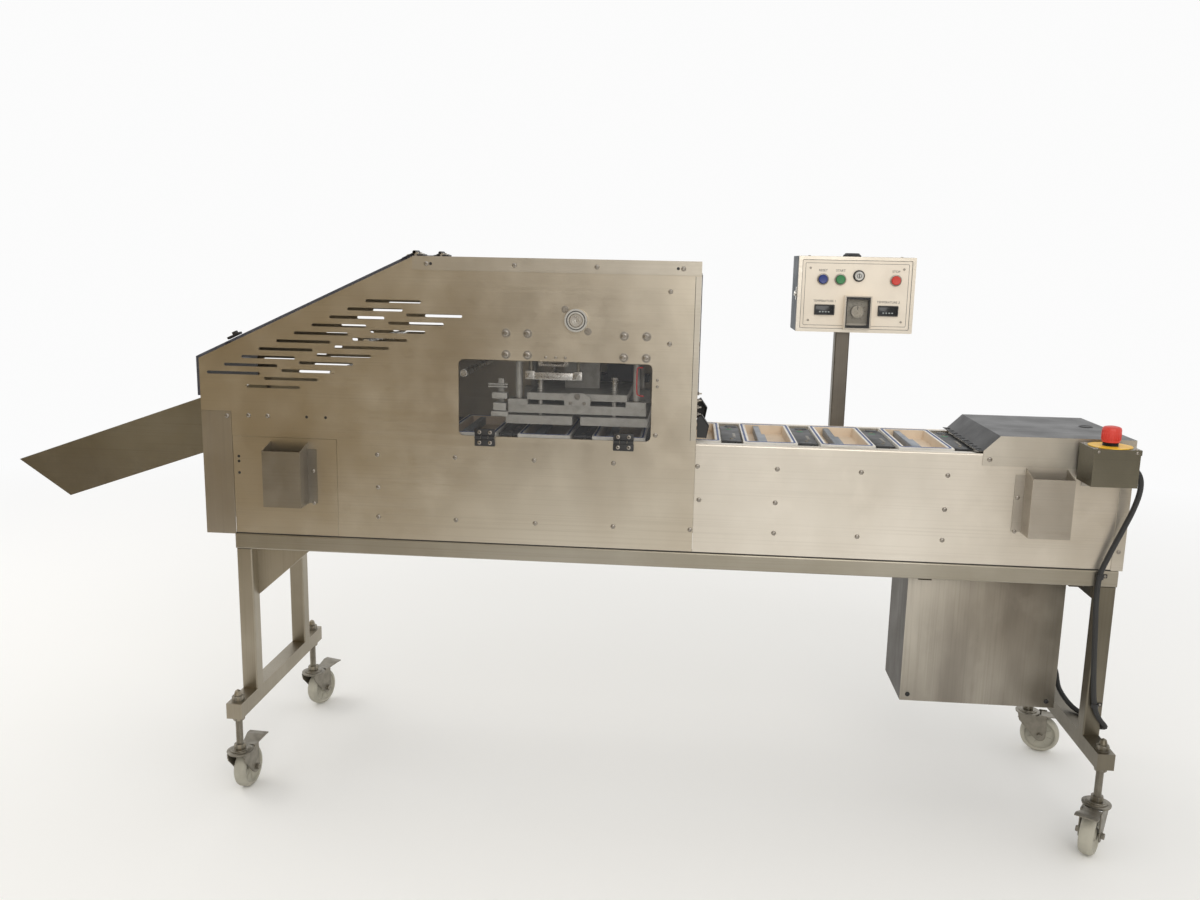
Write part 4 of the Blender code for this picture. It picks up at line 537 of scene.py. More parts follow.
def makeWorld(look):
    # soft all-round light; the view and clear or shiny things see the pale backdrop
    world = bpy.data.worlds.new("studio")
    world.use_nodes = True
    tree = world.node_tree
    sky = tree.nodes["Background"]
    sky.inputs["Color"].default_value = (*look["sky"], 1)
    backdrop = tree.nodes.new("ShaderNodeBackground")
    backdrop.inputs["Color"].default_value = (*look["backdrop"], 1)
    path = tree.nodes.new("ShaderNodeLightPath")
    either = path.outputs["Is Camera Ray"]
    for ray in ("Is Glossy Ray", "Is Transmission Ray"):
        either = combined(tree, "MAXIMUM", either, path.outputs[ray])
    chosen(tree, either, sky.outputs[0], backdrop.outputs[0], "World Output")
    bpy.context.scene.world = world


def makeFloor(look):
    # flat disc whose far part fades into the backdrop for the view, so that no horizon shows
    points, faces = lathe([(radius, 0) for radius in look["floorRings"]], 64)
    mesh = bpy.data.meshes.new("floor")
    mesh.from_pydata(points.tolist(), [], faces)
    floor = bpy.data.objects.new("floor", mesh)
    bpy.context.scene.collection.objects.link(floor)
    finish, tree, shader = newFinish("floorPaint", look["floor"], 0.75)
    glow = tree.nodes.new("ShaderNodeEmission")
    glow.inputs["Color"].default_value = (*look["backdrop"], 1)
    length = tree.nodes.new("ShaderNodeVectorMath")
    length.operation = "LENGTH"
    tree.links.new(tree.nodes.new("ShaderNodeTexCoord").outputs["Object"], length.inputs[0])
    fade = stretched(tree, length.outputs["Value"], *look["fade"], 0, 1)
    path = tree.nodes.new("ShaderNodeLightPath")
    seen = combined(tree, "MULTIPLY", fade, path.outputs["Is Camera Ray"])
    chosen(tree, seen, shader.outputs[0], glow.outputs[0], "Material Output")
    mesh.materials.append(finish)


def makeLamp(name, look, aim):
    data = bpy.data.lights.new(name, "AREA")
    data.size = look["size"]
    data.energy = look["power"]
    data.color = look["colour"]
    lamp = bpy.data.objects.new(name, data)
    bpy.context.scene.collection.objects.link(lamp)
    lamp.location = look["place"]
    lamp.rotation_euler = (Vector(aim) - lamp.location).to_track_quat("-Z", "Y").to_euler()
    lamp.visible_camera = False


# each flag: (x, y) of its two ends, its low and high edge, its colour
flagLook = {
    "brownFlag": ((-3.6, -0.35), (-0.55, -1.95), 0.0, 2.6, (0.37, 0.295, 0.185)),
    "greyFlag": ((-0.55, -1.96), (0.30, -2.15), 0.30, 2.6, (0.30, 0.265, 0.225)),
    "rightFlag": ((1.40, -2.10), (3.40, -1.00), 0.0, 2.2, (0.50, 0.45, 0.38)),
}


def makeFlag(name, start, end, low, high, colour):
    # upright cloth that only shiny faces mirror, to grade the steel from left to right
    mesh = bpy.data.meshes.new(name)
    mesh.from_pydata([(*start, low), (*end, low), (*end, high), (*start, high)], [], [[0, 1, 2, 3]])
    flag = bpy.data.objects.new(name, mesh)
    bpy.context.scene.collection.objects.link(flag)
    mesh.materials.append(newFinish(name, colour, 0.9)[0])
    for ray in ("visible_camera", "visible_diffuse", "visible_transmission", "visible_shadow"):
        setattr(flag, ray, False)


makeCamera(cameraLook)
makeWorld(lightLook)
makeFloor(lightLook)
for lampName in ("keyLamp", "sideLamp"):
    makeLamp(lampName, lightLook[lampName], lightLook["aim"])
for flagName, flagPlace in flagLook.items():
    makeFlag(flagName, *flagPlace)
bpy.context.scene.view_settings.view_transform = "Standard"
print("stage set")

# Screws and bolts of the sheet metal; every place is (distance along the frame, height above it).

screwLook = {
    "radius": 0.0056, "smallRadius": 0.0056 * 0.62,
    "panel": [(x, 0.206) for x in (0.353, 0.540, 0.727, 0.913, 1.107, 1.289, 1.478, 1.670)]
    + [(x, 0.127) for x in (0.354, 1.113, 1.288, 1.669)]
    + [(x, 0.055) for x in (0.353, 0.541, 0.731, 0.915, 1.095, 1.288, 1.478, 1.669)]
    + [(0.042, 0.290), (0.089, 0.290), (1.033, 0.602), (1.034, 0.485), (1.008, 0.275)],
    "lid": [(x, 0.653) for x in (0.476, 0.679, 0.866, 1.060)],
    "small": [(0.752, 0.447), (0.775, 0.447), (0.797, 0.447), (1.009, 0.402), (1.009, 0.387)],
    "bolts": [(x, h) for x in (0.660, 0.710, 0.931, 0.982) for h in (0.451, 0.500)],
    "boltWasher": (0.0105, 0.0014), "boltRadius": 0.0085, "boltSunk": 0.0001,
    "nuts": [(0.795, 0.557), (0.848, 0.508)],
    "nutWasher": (0.0085, 0.0012), "nut": (0.010, 0.0045), "nutSunk": 0.0002,
    "holes": [(0.184, 0.290), (0.230, 0.290), (0.014, 0.190), (0.014, 0.178), (0.014, 0.150)],
    "lidHoles": [(0.486, 0.653), (1.048, 0.653)],
    "headEnd": 1.101, "conveyorTop": 0.25,
}


def makePanelScrews(look):
    lidLow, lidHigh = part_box("head_lid")
    shapes = screwRow(look["radius"], look["panel"], panelFace, spin=9)
    shapes += screwRow(look["smallRadius"], look["small"], panelFace)
    for places, base, top, sunk, spin in (
            (look["bolts"], look["boltWasher"], screwHead(look["boltRadius"]), look["boltSunk"], 5),
            (look["nuts"], look["nutWasher"], hexagon(*look["nut"]), look["nutSunk"], 7)):
        for x, h in places:
            shapes.append(moved(washer(*base), onFace(x, panelFace, h), forward))
            shapes.append(moved(top, onFace(x, panelFace - base[1] + sunk, h), forward, x * spin))
    shapes += screwRow(look["radius"], look["lid"], lidLow.y, spin=8)
    shapes += screwRow(look["radius"], look["lid"], lidHigh.y, backward, 8)
    behind = [(x, h) for x, h in look["panel"] + look["bolts"]
              if x < look["headEnd"] or h < look["conveyorTop"]]
    shapes += screwRow(look["radius"], behind, plateRear, backward, 6)
    makePiece("panelScrews", shapes, "zincScrew")
    dimple = lathe([(0, 0.0002), (0.0024, 0.0002), (0.0034, 0.0003), (0.0036, -0.0002), (0, -0.0002)], 18)
    holes = [moved(dimple, onFace(x, panelFace, h), forward) for x, h in look["holes"]]
    holes += [moved(dimple, onFace(x, lidLow.y, h), forward) for x, h in look["lidHoles"]]
    makePiece("panelHoles", holes, "black")


makePanelScrews(screwLook)

edgeLook = {"boltHeights": (0.292, 0.308, 0.324, 0.340, 0.356, 0.372), "boltInset": 0.030,
            "nut": (0.007, 0.004), "stud": 0.0018, "studLength": 0.010,
            "screwHeights": (0.485, 0.640), "screwInsets": (0.022, 0.012), "screw": 0.0056}


def makeHeadEdgeBolts(look):
    # stud ends and nuts that stand out of the entry end beside the front plate
    stud, length = look["stud"], look["studLength"]
    end = lathe([(0, 0), (stud, 0), (stud, length - 0.001), (stud - 0.0006, length), (0, length)], 10)
    shapes = []
    for h in look["boltHeights"]:
        place = (headHigh.x, headLow.y + look["boltInset"], railTop + h)
        shapes.append(moved(hexagon(*look["nut"]), place, (1, 0, 0)))
        shapes.append(moved(end, place, (1, 0, 0)))
    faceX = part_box("entry_panel")[1].x
    for h in look["screwHeights"]:
        for y in (headLow.y + look["screwInsets"][0], plateRear - look["screwInsets"][1]):
            shapes.append(moved(screwHead(look["screw"]), (faceX, y, railTop + h), (1, 0, 0)))
    makePiece("headEdgeBolts", shapes, "zincScrew")


makeHeadEdgeBolts(edgeLook)

coverScrewLook = {"radius": 0.0056, "endRadius": 0.0050, "guardRadius": 0.0048,
                  "leftCover": (-0.011, 0.287), "hood": (1.758, 0.246), "hoodEnd": (0.013, 0.045),
                  "guards": [(x, h) for x in (0.197, 1.826) for h in (0.161, 0.083)], "guardFlange": 0.0021}


def makeCoverScrews(look):
    hoodLow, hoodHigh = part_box("end_cover")
    inset, h = look["hoodEnd"]
    shapes = screwRow(look["radius"], [look["leftCover"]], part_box("left_end_cover")[0].y)
    for y, facing in ((hoodLow.y, forward), (hoodHigh.y, backward)):
        shapes += screwRow(look["radius"], [look["hood"]], y, facing)
        shapes.append(moved(screwHead(look["endRadius"]), (hoodHigh.x - inset, y, railTop + h), facing))
    shapes += screwRow(look["guardRadius"], look["guards"], plateFront - look["guardFlange"])
    makePiece("coverScrews", shapes, "zincScrew")


makeCoverScrews(coverScrewLook)

seamLook = {"proud": 0.0006, "sunk": 0.0004, "railSeam": (0.0002, 0.0022), "lidSeam": 0.0014,
            "lidSeamStart": 0.448, "lidFlange": 0.030, "endFlange": 0.0125, "foldSeam": 0.0010,
            "foldLow": 0.2650, "foldHigh": 0.6364}


def makeSeams(look):
    # dark joint above each rail, shadow gap under the lid's flange, and the folded end of the head's sides
    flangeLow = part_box("head_lid")[1].z - look["lidFlange"]
    seamLow, seamHigh = (railTop + h for h in look["railSeam"])
    foldLow, foldHigh = railTop + look["foldLow"], railTop + look["foldHigh"]
    foldX = headHigh.x - look["endFlange"]
    outlines = [rectangle(railLow.x, seamLow, railHigh.x, seamHigh),
                rectangle(foldX - look["foldSeam"], foldLow, foldX, foldHigh),
                rectangle(railLow.x + look["lidSeamStart"], flangeLow - look["lidSeam"], headHigh.x - 0.0004,
                          flangeLow)]
    dark, fold = [], []
    for y, way in ((panelFace, -1), (plateRear, 1)):
        near, far = sorted((y - way * look["sunk"], y + way * look["proud"]))
        dark += [prism(outline, near, far) for outline in outlines]
        fold.append(prism(rectangle(foldX, foldLow, headHigh.x - gap, foldHigh), near, far))
    makePiece("sheetSeams", dark, "rubber")
    makePiece("headEndFolds", fold, "lidSteel")


makeSeams(seamLook)

bearingLook = {"outer": 0.0262, "seal": 0.0215, "inner": 0.0196, "bore": 0.0160, "along": 0.821, "above": 0.533}


def makePressBearing(look):
    # concentric rings round the press shaft: housing lip, dark seal, inner race, drilled shaft end
    outer, sealSize, inner, bore = (look[key] for key in ("outer", "seal", "inner", "bore"))
    place = onFace(look["along"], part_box("head_side_front")[0].y, look["above"])
    lip = lathe([(sealSize, 0), (outer, 0), (outer, 0.0006), (outer - 0.001, 0.0014),
                 (sealSize + 0.0008, 0.0014), (sealSize, 0.0004)], 64, True)
    race = lathe([(bore, 0), (inner, 0), (inner, 0.0010), (bore + 0.0006, 0.0012), (bore, 0.0008)], 64, True)
    seal = lathe([(inner, 0), (sealSize, 0), (sealSize, 0.0003), (inner, 0.0003)], 64, True)
    makePiece("bearingRings", [moved(lip, place, forward), moved(race, place, forward)], "platenSteel")
    makePiece("bearingSeal", [moved(seal, place, forward)], "rubber")
    end = lathe([(0, -0.0005), (0.0022, 0.0002), (0.0030, 0.0012), (0.0080, 0.0014), (0.0084, 0.0009),
                 (0.0090, 0.0014), (0.0138, 0.0014), (0.0147, 0.0006), (0.0147, -0.0004), (0, -0.0006)], 64)
    ends = zip(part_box("press_shaft"), (forward, backward))
    makePiece("pressShaftEnd", [moved(end, (place.x, corner.y, place.z), facing) for corner, facing in ends],
              "brightSteel", "press_shaft")


makePressBearing(bearingLook)
print("sheet metal fastened")

# Window and guard hinges.

hingeLook = {"inset": 0.0612, "length": 0.047, "leaf": 0.020, "barrel": 0.004, "proud": 0.0008,
             "screw": 0.0045, "screwApart": 0.0125, "play": 0.0006}


def makeWindowHinges(look):
    doorLow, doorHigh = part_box("window_door")
    barrel, play = look["barrel"], look["play"]
    pinY, pinZ = doorLow.y + barrel, doorLow.z + barrel
    front = pinY + barrel / 4 - look["proud"]
    third, half = look["length"] / 6, look["length"] / 2
    radius = barrel + gap
    leafHeight = look["leaf"] - barrel + 0.0004
    fixed, swinging, fixedScrews, swingingScrews = [], [], [], []
    for centre in (doorLow.x + look["inset"], doorHigh.x - look["inset"]):
        for way, shapes, screws, back in ((-1, fixed, fixedScrews, plateFront),
                                          (1, swinging, swingingScrews, plateFront - gap)):
            leaf = slab(look["length"] + 0.0008, leafHeight, back - front, 0.0015, 0.0005)
            middle = pinZ + way * (barrel + leafHeight / 2)
            shapes.append(onFront(leaf, (centre, back, middle)))
            for apart in (-look["screwApart"], look["screwApart"]):
                screws.append(moved(flatScrew(look["screw"]), (centre + apart, front, middle), forward))
        outer = half - third - play
        for start, length, shapes in ((-half, outer, fixed), (third + play, outer, fixed),
                                      (-third, 2 * third, swinging)):
            shapes.append(moved(knuckle(radius, length), (centre + start, pinY, pinZ), (1, 0, 0)))
    makePiece("windowHingeFixed", fixed, "black")
    makePiece("windowHingeMoving", swinging, "black", "window")
    makePiece("windowHingeFixedScrews", fixedScrews, "zincScrew")
    makePiece("windowHingeMovingScrews", swingingScrews, "zincScrew", "window")


makeWindowHinges(hingeLook)

guardHingeLook = {"pinX": 0.441, "pinDrop": 0.004, "inset": 0.045, "knuckle": 0.010, "barrel": 0.0043,
                  "leafTop": 0.0082, "slope": math.atan2(0.245, 0.517), "screw": 0.0036,
                  "catchInsets": (0.030, 0.020), "catchAlong": 0.478}


def makeGuardHinges(look):
    pinX, pinZ = railLow.x + look["pinX"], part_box("head_lid")[1].z - look["pinDrop"]
    lidTop, barrel = pinZ - look["leafTop"], look["barrel"]
    slope = Matrix.Rotation(-look["slope"], 3, "Y")
    along, outward = slope @ Vector((1, 0, 0)), slope @ Vector((0, 0, 1))

    def onSlope(shape, offset, place):
        points, faces = shape
        return (points + offset) @ np.array(slope).T + np.array(place), faces

    fixed, swinging, fixedScrews, swingingScrews = [], [], [], []
    for y in (plateFront + look["inset"], plateRear - look["inset"]):
        fixed.append(moved(slab(0.0155, 0.0410, 0.0040, 0.0015, 0.0006), (pinX + 0.0132, y, lidTop)))
        for side, start in ((-1, -0.0200), (1, look["knuckle"] + 0.0006)):
            fixed.append(moved(knuckle(barrel, 0.0094), (pinX, y + start, pinZ), backward))
            onLid = (pinX + 0.0140, y + side * 0.012, lidTop + 0.0040)
            fixedScrews.append(moved(screwHead(look["screw"]), onLid))
            onLeaf = Vector((pinX, y + side * 0.0055, pinZ)) + slope @ Vector((-0.020, 0, 0.0015))
            swingingScrews.append(moved(screwHead(look["screw"]), onLeaf, outward))
        swinging.append(moved(knuckle(barrel, 0.0198), (pinX, y - 0.0099, pinZ), backward))
        leaf = slab(0.0330, 0.0206, 0.0046, 0.0015, 0.0006)
        swinging.append(onSlope(leaf, [-0.0185, 0, -0.0030], [pinX, y, pinZ]))
    makePiece("guardHingeFixed", fixed, "black")
    makePiece("guardHingeMoving", swinging, "black", "loading_guard")
    makePiece("guardHingeFixedScrews", fixedScrews, "zincScrew")
    makePiece("guardHingeMovingScrews", swingingScrews, "zincScrew", "loading_guard")
    # catch near the low end of the sloped guard: a small base with a raised thumb bar
    corner = Vector((pinX, 0, pinZ)) - along * look["catchAlong"] + outward * 0.0002
    base, thumb = slab(0.034, 0.016, 0.005, 0.002), slab(0.012, 0.012, 0.011, 0.003)
    catches = [onSlope(part, [offset, 0, 0.0005], corner + Vector((0, y, 0)))
               for y in (headLow.y + look["catchInsets"][0], plateRear - look["catchInsets"][1])
               for part, offset in ((base, 0), (thumb, 0.004))]
    makePiece("guardCatches", catches, "black", "loading_guard")


makeGuardHinges(guardHingeLook)
print("hinges dressed")

# Carriers.

carrierLook = {"rim": 0.013, "linkGap": 0.052, "lipOutside": 0.0092, "lipInside": 0.0048, "lipHeight": 0.0011,
               "lipSunk": 0.0004, "wall": 0.0010, "lean": 0.0022, "floor": 0.0024, "lineDrop": 0.0006,
               "divider": 0.30, "link": 0.046, "linkDepth": 0.225, "linkDrop": 0.0075, "linkTop": 0.0042,
               "postApart": 0.080}


def pocketLiner(inX, inY, floorZ, top, look):
    # thin tray whose walls lean in towards its floor: outside down, underside, floor, inside up
    wall, lean = look["wall"], 2 * look["lean"]

    def ring(inset, radius, z):
        return flatRing(inX - inset, inY - inset, radius, z, 4)

    def hub(z):
        return flatRing(0.001, 0.001, 0.0004, z, 4)

    return loft([ring(0.0004, 0.004, top), ring(lean, 0.005, floorZ + 0.001), ring(lean + 0.002, 0.005, floorZ),
                 hub(floorZ), hub(floorZ + wall), ring(lean + 0.004, 0.005, floorZ + wall),
                 ring(lean + 2 * wall, 0.005, floorZ + wall + 0.001), ring(0.0004 + 2 * wall, 0.004, top)],
                closed=True)


def makeCarrierFittings(look):
    lips, liners, dividers, links, marks, posts = [], [], [], [], [], []
    boxes = [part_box(f"carrier_{number}") for number in range(1, 9)]
    pitch = boxes[1][0].x - boxes[0][0].x
    inX = pitch - look["linkGap"] - 2 * look["rim"]
    inY = plateRear - plateFront - 2 * carrierInset - 2 * look["rim"]
    for low, high in boxes:
        centreX, centreY, top = (low.x + high.x) / 2, (low.y + high.y) / 2, high.z
        # seal lip: raised band round the pocket, set in the rim
        bands = [(inX + 2 * edge, inY + 2 * edge, edge) for edge in (look["lipOutside"], look["lipInside"])]
        lips.append(moved(border(*bands, look["lipHeight"]), (centreX, centreY, top - look["lipSunk"])))
        floorZ, lineTop = low.z + look["floor"], top - look["lineDrop"]
        liners.append(moved(pocketLiner(inX, inY, floorZ, lineTop, look), (centreX, centreY, 0)))
        # divider: cross wall that parts a small left pocket from the larger right one, with its pad
        dividerX = centreX - inX / 2 + inX * look["divider"]
        cross = slab(0.0140, inY - 2 * look["lean"] - 0.003, lineTop - floorZ - 0.003, 0.0015, 0.0006)
        dividers.append(moved(cross, (dividerX, centreY, floorZ + 0.0012)))
        pad = slab(0.0200, inY * 0.42, 0.0030, 0.0015, 0.0006)
        dividers.append(moved(pad, (dividerX + 0.004, centreY - inY * 0.25, lineTop - 0.0042)))
        # link plate over the chain between this carrier and the next, on two posts
        linkX, linkZ, faceZ = centreX - pitch / 2, top - look["linkDrop"], top - look["linkTop"]
        plate = slab(look["link"], look["linkDepth"], 0.0035, 0.003, 0.0008)
        ear = slab(look["link"] * 0.62, 0.020, 0.0060, 0.002, 0.0008)
        links.append(moved(plate, (linkX, centreY, linkZ)))
        for side in (-1, 1):
            earY = centreY + side * (look["linkDepth"] / 2 - 0.006)
            postY = centreY + side * look["postApart"]
            links.append(moved(ear, (linkX + 0.004 * side, earY, linkZ - 0.0010)))
            posts.append(moved(knuckle(0.004, linkZ - low.z - 0.004), (linkX, postY, low.z + 0.0035)))
            posts.append(moved(screwHead(0.0046), (linkX, postY, faceZ)))
        slot, mark = slab(0.007, 0.060, 0.0006, 0.0034, 0.0002), slab(0.016, 0.007, 0.0006, 0.001, 0.0002)
        posts.append(moved(slot, (linkX + 0.008, centreY - 0.030, faceZ)))
        marks.append(moved(mark, (linkX - 0.002, centreY + 0.062, faceZ)))
    for name, shapes, finish in (("SealLips", lips, "sealBlue"), ("Liners", liners, "linerBeige"),
                                 ("Dividers", dividers, "dividerGrey"), ("Links", links, "linkBlack"),
                                 ("LinkMarks", marks, "greenMark"), ("LinkScrews", posts, "castorZinc")):
        makePiece("carrier" + name, shapes, finish, "carrier_row")


makeCarrierFittings(carrierLook)

chainLook = {"pitch": 0.0127, "radius": 0.0853, "roller": 0.0040, "width": 0.0075, "plate": 0.0012,
             "inset": 0.039, "shaftAbove": 0.145}


def chainPoints(look):
    # points set evenly round a loop: two straight runs and a half turn over each shaft
    (low1, high1), (low2, high2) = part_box("drive_shaft"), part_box("tail_shaft")
    x1, x2 = (low1.x + high1.x) / 2, (low2.x + high2.x) / 2
    radius, span, arc = look["radius"], x2 - x1, math.pi * look["radius"]
    count = int(round((2 * span + 2 * arc) / look["pitch"]))
    s = np.linspace(0, 2 * span + 2 * arc, count, endpoint=False)
    turn1, turn2 = (s - span) / radius, (s - 2 * span - arc) / radius
    runs = [s < span, (s >= span) & (s < span + arc), (s >= span + arc) & (s < 2 * span + arc)]
    along = [x1 + s, x2 + radius * np.sin(turn1), x2 - (s - span - arc)]
    above = [0 * s + radius, radius * np.cos(turn1), 0 * s - radius]
    x = np.select(runs, along, x1 - radius * np.sin(turn2))
    h = np.select(runs, above, -radius * np.cos(turn2))
    return np.column_stack([x, h + railTop + look["shaftAbove"]])


def makeChains(look):
    # a roller at each point and a pair of side plates between it and the next, in and out by turns
    centres = chainPoints(look)
    width, thick = look["width"], look["plate"]
    roller = lathe([(0, 0), (look["roller"], 0), (look["roller"], width), (0, width)], 8)
    side = roundedOutline(look["pitch"] * 1.55, look["roller"] * 1.9, look["roller"] * 0.9, 2)
    for name, y in (("frontChain", plateFront + look["inset"]), ("rearChain", plateRear - look["inset"])):
        shapes = []
        for index, ((cx, cz), (nx, nz)) in enumerate(zip(centres, np.roll(centres, -1, axis=0))):
            shapes.append(moved(roller, (cx, y + width / 2, cz), forward))
            angle = math.atan2(nz - cz, nx - cx)
            turn = np.array([[math.cos(angle), math.sin(angle)], [-math.sin(angle), math.cos(angle)]])
            flat = side @ turn + [(cx + nx) / 2, (cz + nz) / 2]
            out = width / 2 + (0.0014 if index % 2 else 0.0002)
            shapes += [prism(flat, near, near + thick) for near in (y - out - thick, y + out)]
        makePiece(name, shapes, "castorZinc")


makeChains(chainLook)
print("conveyor dressed")

# Castors.

castorLook = {"radius": 0.050, "width": 0.032, "bore": 0.0043, "ribs": 8, "ribRadius": 0.0248,
              "cheek": 0.0205, "cheekSheet": 0.0025, "beamTop": 0.238, "beamLow": 0.200,
              "nut": (0.0245, 0.0122), "lowNut": (0.0245, 0.0120), "cap": 0.0084,
              "thread": 0.00835, "threadDepth": 0.0005, "threadStep": 0.0005}


def makeWheel(where, centre, across, look):
    half = look["width"] / 2
    profile = [(look["bore"], half), (0.0105, half), (0.0125, half - 0.001), (0.0150, half - 0.006),
               (0.0230, half - 0.0072), (0.0340, half - 0.0070), (0.0372, half - 0.0052),
               (0.0388, half - 0.0010), (0.0410, half - 0.0002), (0.0440, half - 0.0008),
               (0.0478, half - 0.0040), (0.0494, half - 0.0075), (look["radius"], half - 0.0115)]
    profile += [(radius, -height) for radius, height in reversed(profile)]
    wheel = makePiece("wheel_" + where, [moved(lathe(profile, 96, True), centre, across)], "nylon",
                      "wheel_" + where, smoothTo=40)
    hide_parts("castor_wheel_" + where)
    points, faces = slab(0.016, 0.0030, 0.0022, 0.0010, 0.0005)
    ribs = []
    for face in (-1, 1):
        for step in range(look["ribs"]):
            turn = np.array(Matrix.Rotation(step * 2 * math.pi / look["ribs"], 3, "Z"))
            rib = (points + [look["ribRadius"], 0, half - 0.0080]) @ turn.T * [1, 1, face]
            ribs.append(moved((rib, faces), centre, across))
    makePiece("wheelRibs_" + where, ribs, "nylon", "wheel_" + where)


def makeCastorTrim(where, swivel, centre, out, across, top, look):
    # axle nuts, a bead down each cheek's edge, and the races under the beam
    parts = []
    for face in (-1, 1):
        outward = across * face
        place = centre + outward * (look["cheek"] + look["cheekSheet"])
        parts.append(moved(washer(0.0085, 0.0012), place, outward))
        parts.append(moved(hexagon(0.013, 0.0065), place + outward * 0.001, outward, 0.3))
        edge = [Vector((swivel.x, swivel.y, centre.z + 0.046)) - out * 0.0225]
        edge += [centre + out * along + Vector((0, 0, rise))
                 for along, rise in ((-0.0150, -0.004), (0.002, -0.0135), (0.0135, -0.002), (0.0137, 0.046))]
        bead = [point + outward * (look["cheek"] + look["cheekSheet"] / 2) for point in edge]
        parts.append(pipe(smoothLine(bead), 0.0016, 8))
    race = lathe([(0, -0.009), (0.0300, -0.009), (0.0318, -0.0075), (0.0318, -0.0055), (0.0300, -0.0046),
                  (0.0240, -0.0044), (0.0236, -0.0020), (0.0200, -0.0012), (0.0196, 0.0002), (0, 0.0002)], 48)
    parts.append(moved(race, (swivel.x, swivel.y, top)))
    makePiece("castorTrim_" + where, parts, "castorZinc", "fork_" + where)


def makeStem(where, swivel, top, look):
    # nuts, washers, cap and thread of the height stem, on the leg frame's foot beam
    base = np.array([swivel.x, swivel.y, 0])
    beamTop, beamLow, cap = look["beamTop"], look["beamLow"], look["cap"]
    (wide, high), (lowWide, lowHigh) = look["nut"], look["lowNut"]
    threadLow, threadTop = top + high + 0.0004, beamLow - lowHigh - 0.0004
    parts = [moved(hexagon(flats, height), base + [0, 0, z], spin=0.2 + z)
             for z, flats, height in ((top + 0.0004, wide, high), (threadTop, lowWide, lowHigh),
                                      (beamTop + 0.0003, wide, high))]
    parts.append(moved(washer(0.0150, 0.0016), base + [0, 0, beamLow - 0.0016]))
    parts.append(moved(washer(0.0160, 0.0016), base + [0, 0, beamTop]))
    dome = [(cap * math.cos(t), 0.002 + 0.0070 * math.sin(t)) for t in np.linspace(0.1, 1.5, 7)]
    parts.append(moved(lathe([(cap, 0), (cap, 0.002), *dome, (0, 0.0091), (0, 0)], 28),
                       base + [0, 0, beamTop + high]))
    # thread: radius swells and sinks once every four steps along the stem
    z = np.arange(threadLow, threadTop, look["threadStep"])
    swell = look["thread"] - look["threadDepth"] * (np.arange(len(z)) % 4 >= 2)
    parts.append(moved(lathe([(0, threadLow), *zip(swell, z), (0, threadTop)], 24), base))
    makePiece("stemNuts_" + where, parts, "castorZinc")


def makeCastor(where, look):
    wheelLow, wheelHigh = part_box("castor_wheel_" + where)
    joint = next(item for item in frame["joints"] if item["name"] == "swivel_" + where)
    swivel, centre = Vector(joint["pos_m"]), (wheelLow + wheelHigh) / 2
    out = Vector((centre.x - swivel.x, centre.y - swivel.y, 0)).normalized()
    across = Vector((-out.y, out.x, 0))
    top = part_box("castor_fork_" + where)[1].z
    makeWheel(where, centre, across, look)
    makeCastorTrim(where, swivel, centre, out, across, top, look)
    makeStem(where, swivel, top, look)


for corner in ("front_left", "rear_left", "front_right", "rear_right"):
    makeCastor(corner, castorLook)
print("castors made")

# Control box; places on the door are (x, height) from its lower left corner.

doorLook = {"inset": 0.009, "lineInset": 0.017, "doorSet": 0.009, "screwInset": 0.030, "bezel": 0.0150,
            "words": {"RESET": (0.063, 0.157), "START": (0.108, 0.157), "STOP": (0.250, 0.157),
                      "TEMPERATURE 1": (0.071, 0.078), "TEMPERATURE 2": (0.235, 0.078)},
            "shortWord": 0.0085, "longWord": 0.0080,
            "buttons": ((0.063, 0.137), (0.108, 0.137), (0.250, 0.137)), "key": (0.155, 0.147),
            "displays": ((0.071, 0.058), (0.235, 0.058)), "displaySize": (0.052, 0.027),
            "digits": 4, "digitStep": 0.0076, "timer": (0.1545, 0.055), "housing": (0.1545, 0.053)}
boxLow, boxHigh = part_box("control_box")
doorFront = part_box("reset_button")[0].y + doorLook["doorSet"]
doorWidth, doorHeight = boxHigh.x - boxLow.x, boxHigh.z - boxLow.z
boxMiddle = (boxLow + boxHigh) / 2


def onDoor(x, z, out=0.0):
    return (boxLow.x + x, doorFront - out, boxLow.z + z)


def frontCentre(node):
    low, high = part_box(node)
    return np.array(((low.x + high.x) / 2, low.y, (low.z + high.z) / 2))


def lettering(word, height, place):
    # flat letters stood upright on the door, facing the operator
    curve = bpy.data.curves.new("word", "FONT")
    curve.body = word
    curve.size = height
    curve.align_x = "CENTER"
    curve.extrude = 0.00012
    helper = bpy.data.objects.new("word", curve)
    bpy.context.scene.collection.objects.link(helper)
    mesh = bpy.data.meshes.new_from_object(helper.evaluated_get(bpy.context.evaluated_depsgraph_get()))
    bpy.data.objects.remove(helper)
    points = np.zeros(len(mesh.vertices) * 3)
    mesh.vertices.foreach_get("co", points)
    faces = [list(polygon.vertices) for polygon in mesh.polygons]
    bpy.data.meshes.remove(mesh)
    return onFront((points.reshape(-1, 3), faces), place)


def doorFrame(outerInset, innerInset, outerRadius, innerRadius, thickness):
    # band round the door between two distances from its edge
    outer, inner = ((doorWidth - 2 * inset, doorHeight - 2 * inset, radius)
                    for inset, radius in ((outerInset, outerRadius), (innerInset, innerRadius)))
    return onFront(border(outer, inner, thickness), (boxMiddle.x, doorFront, boxMiddle.z))


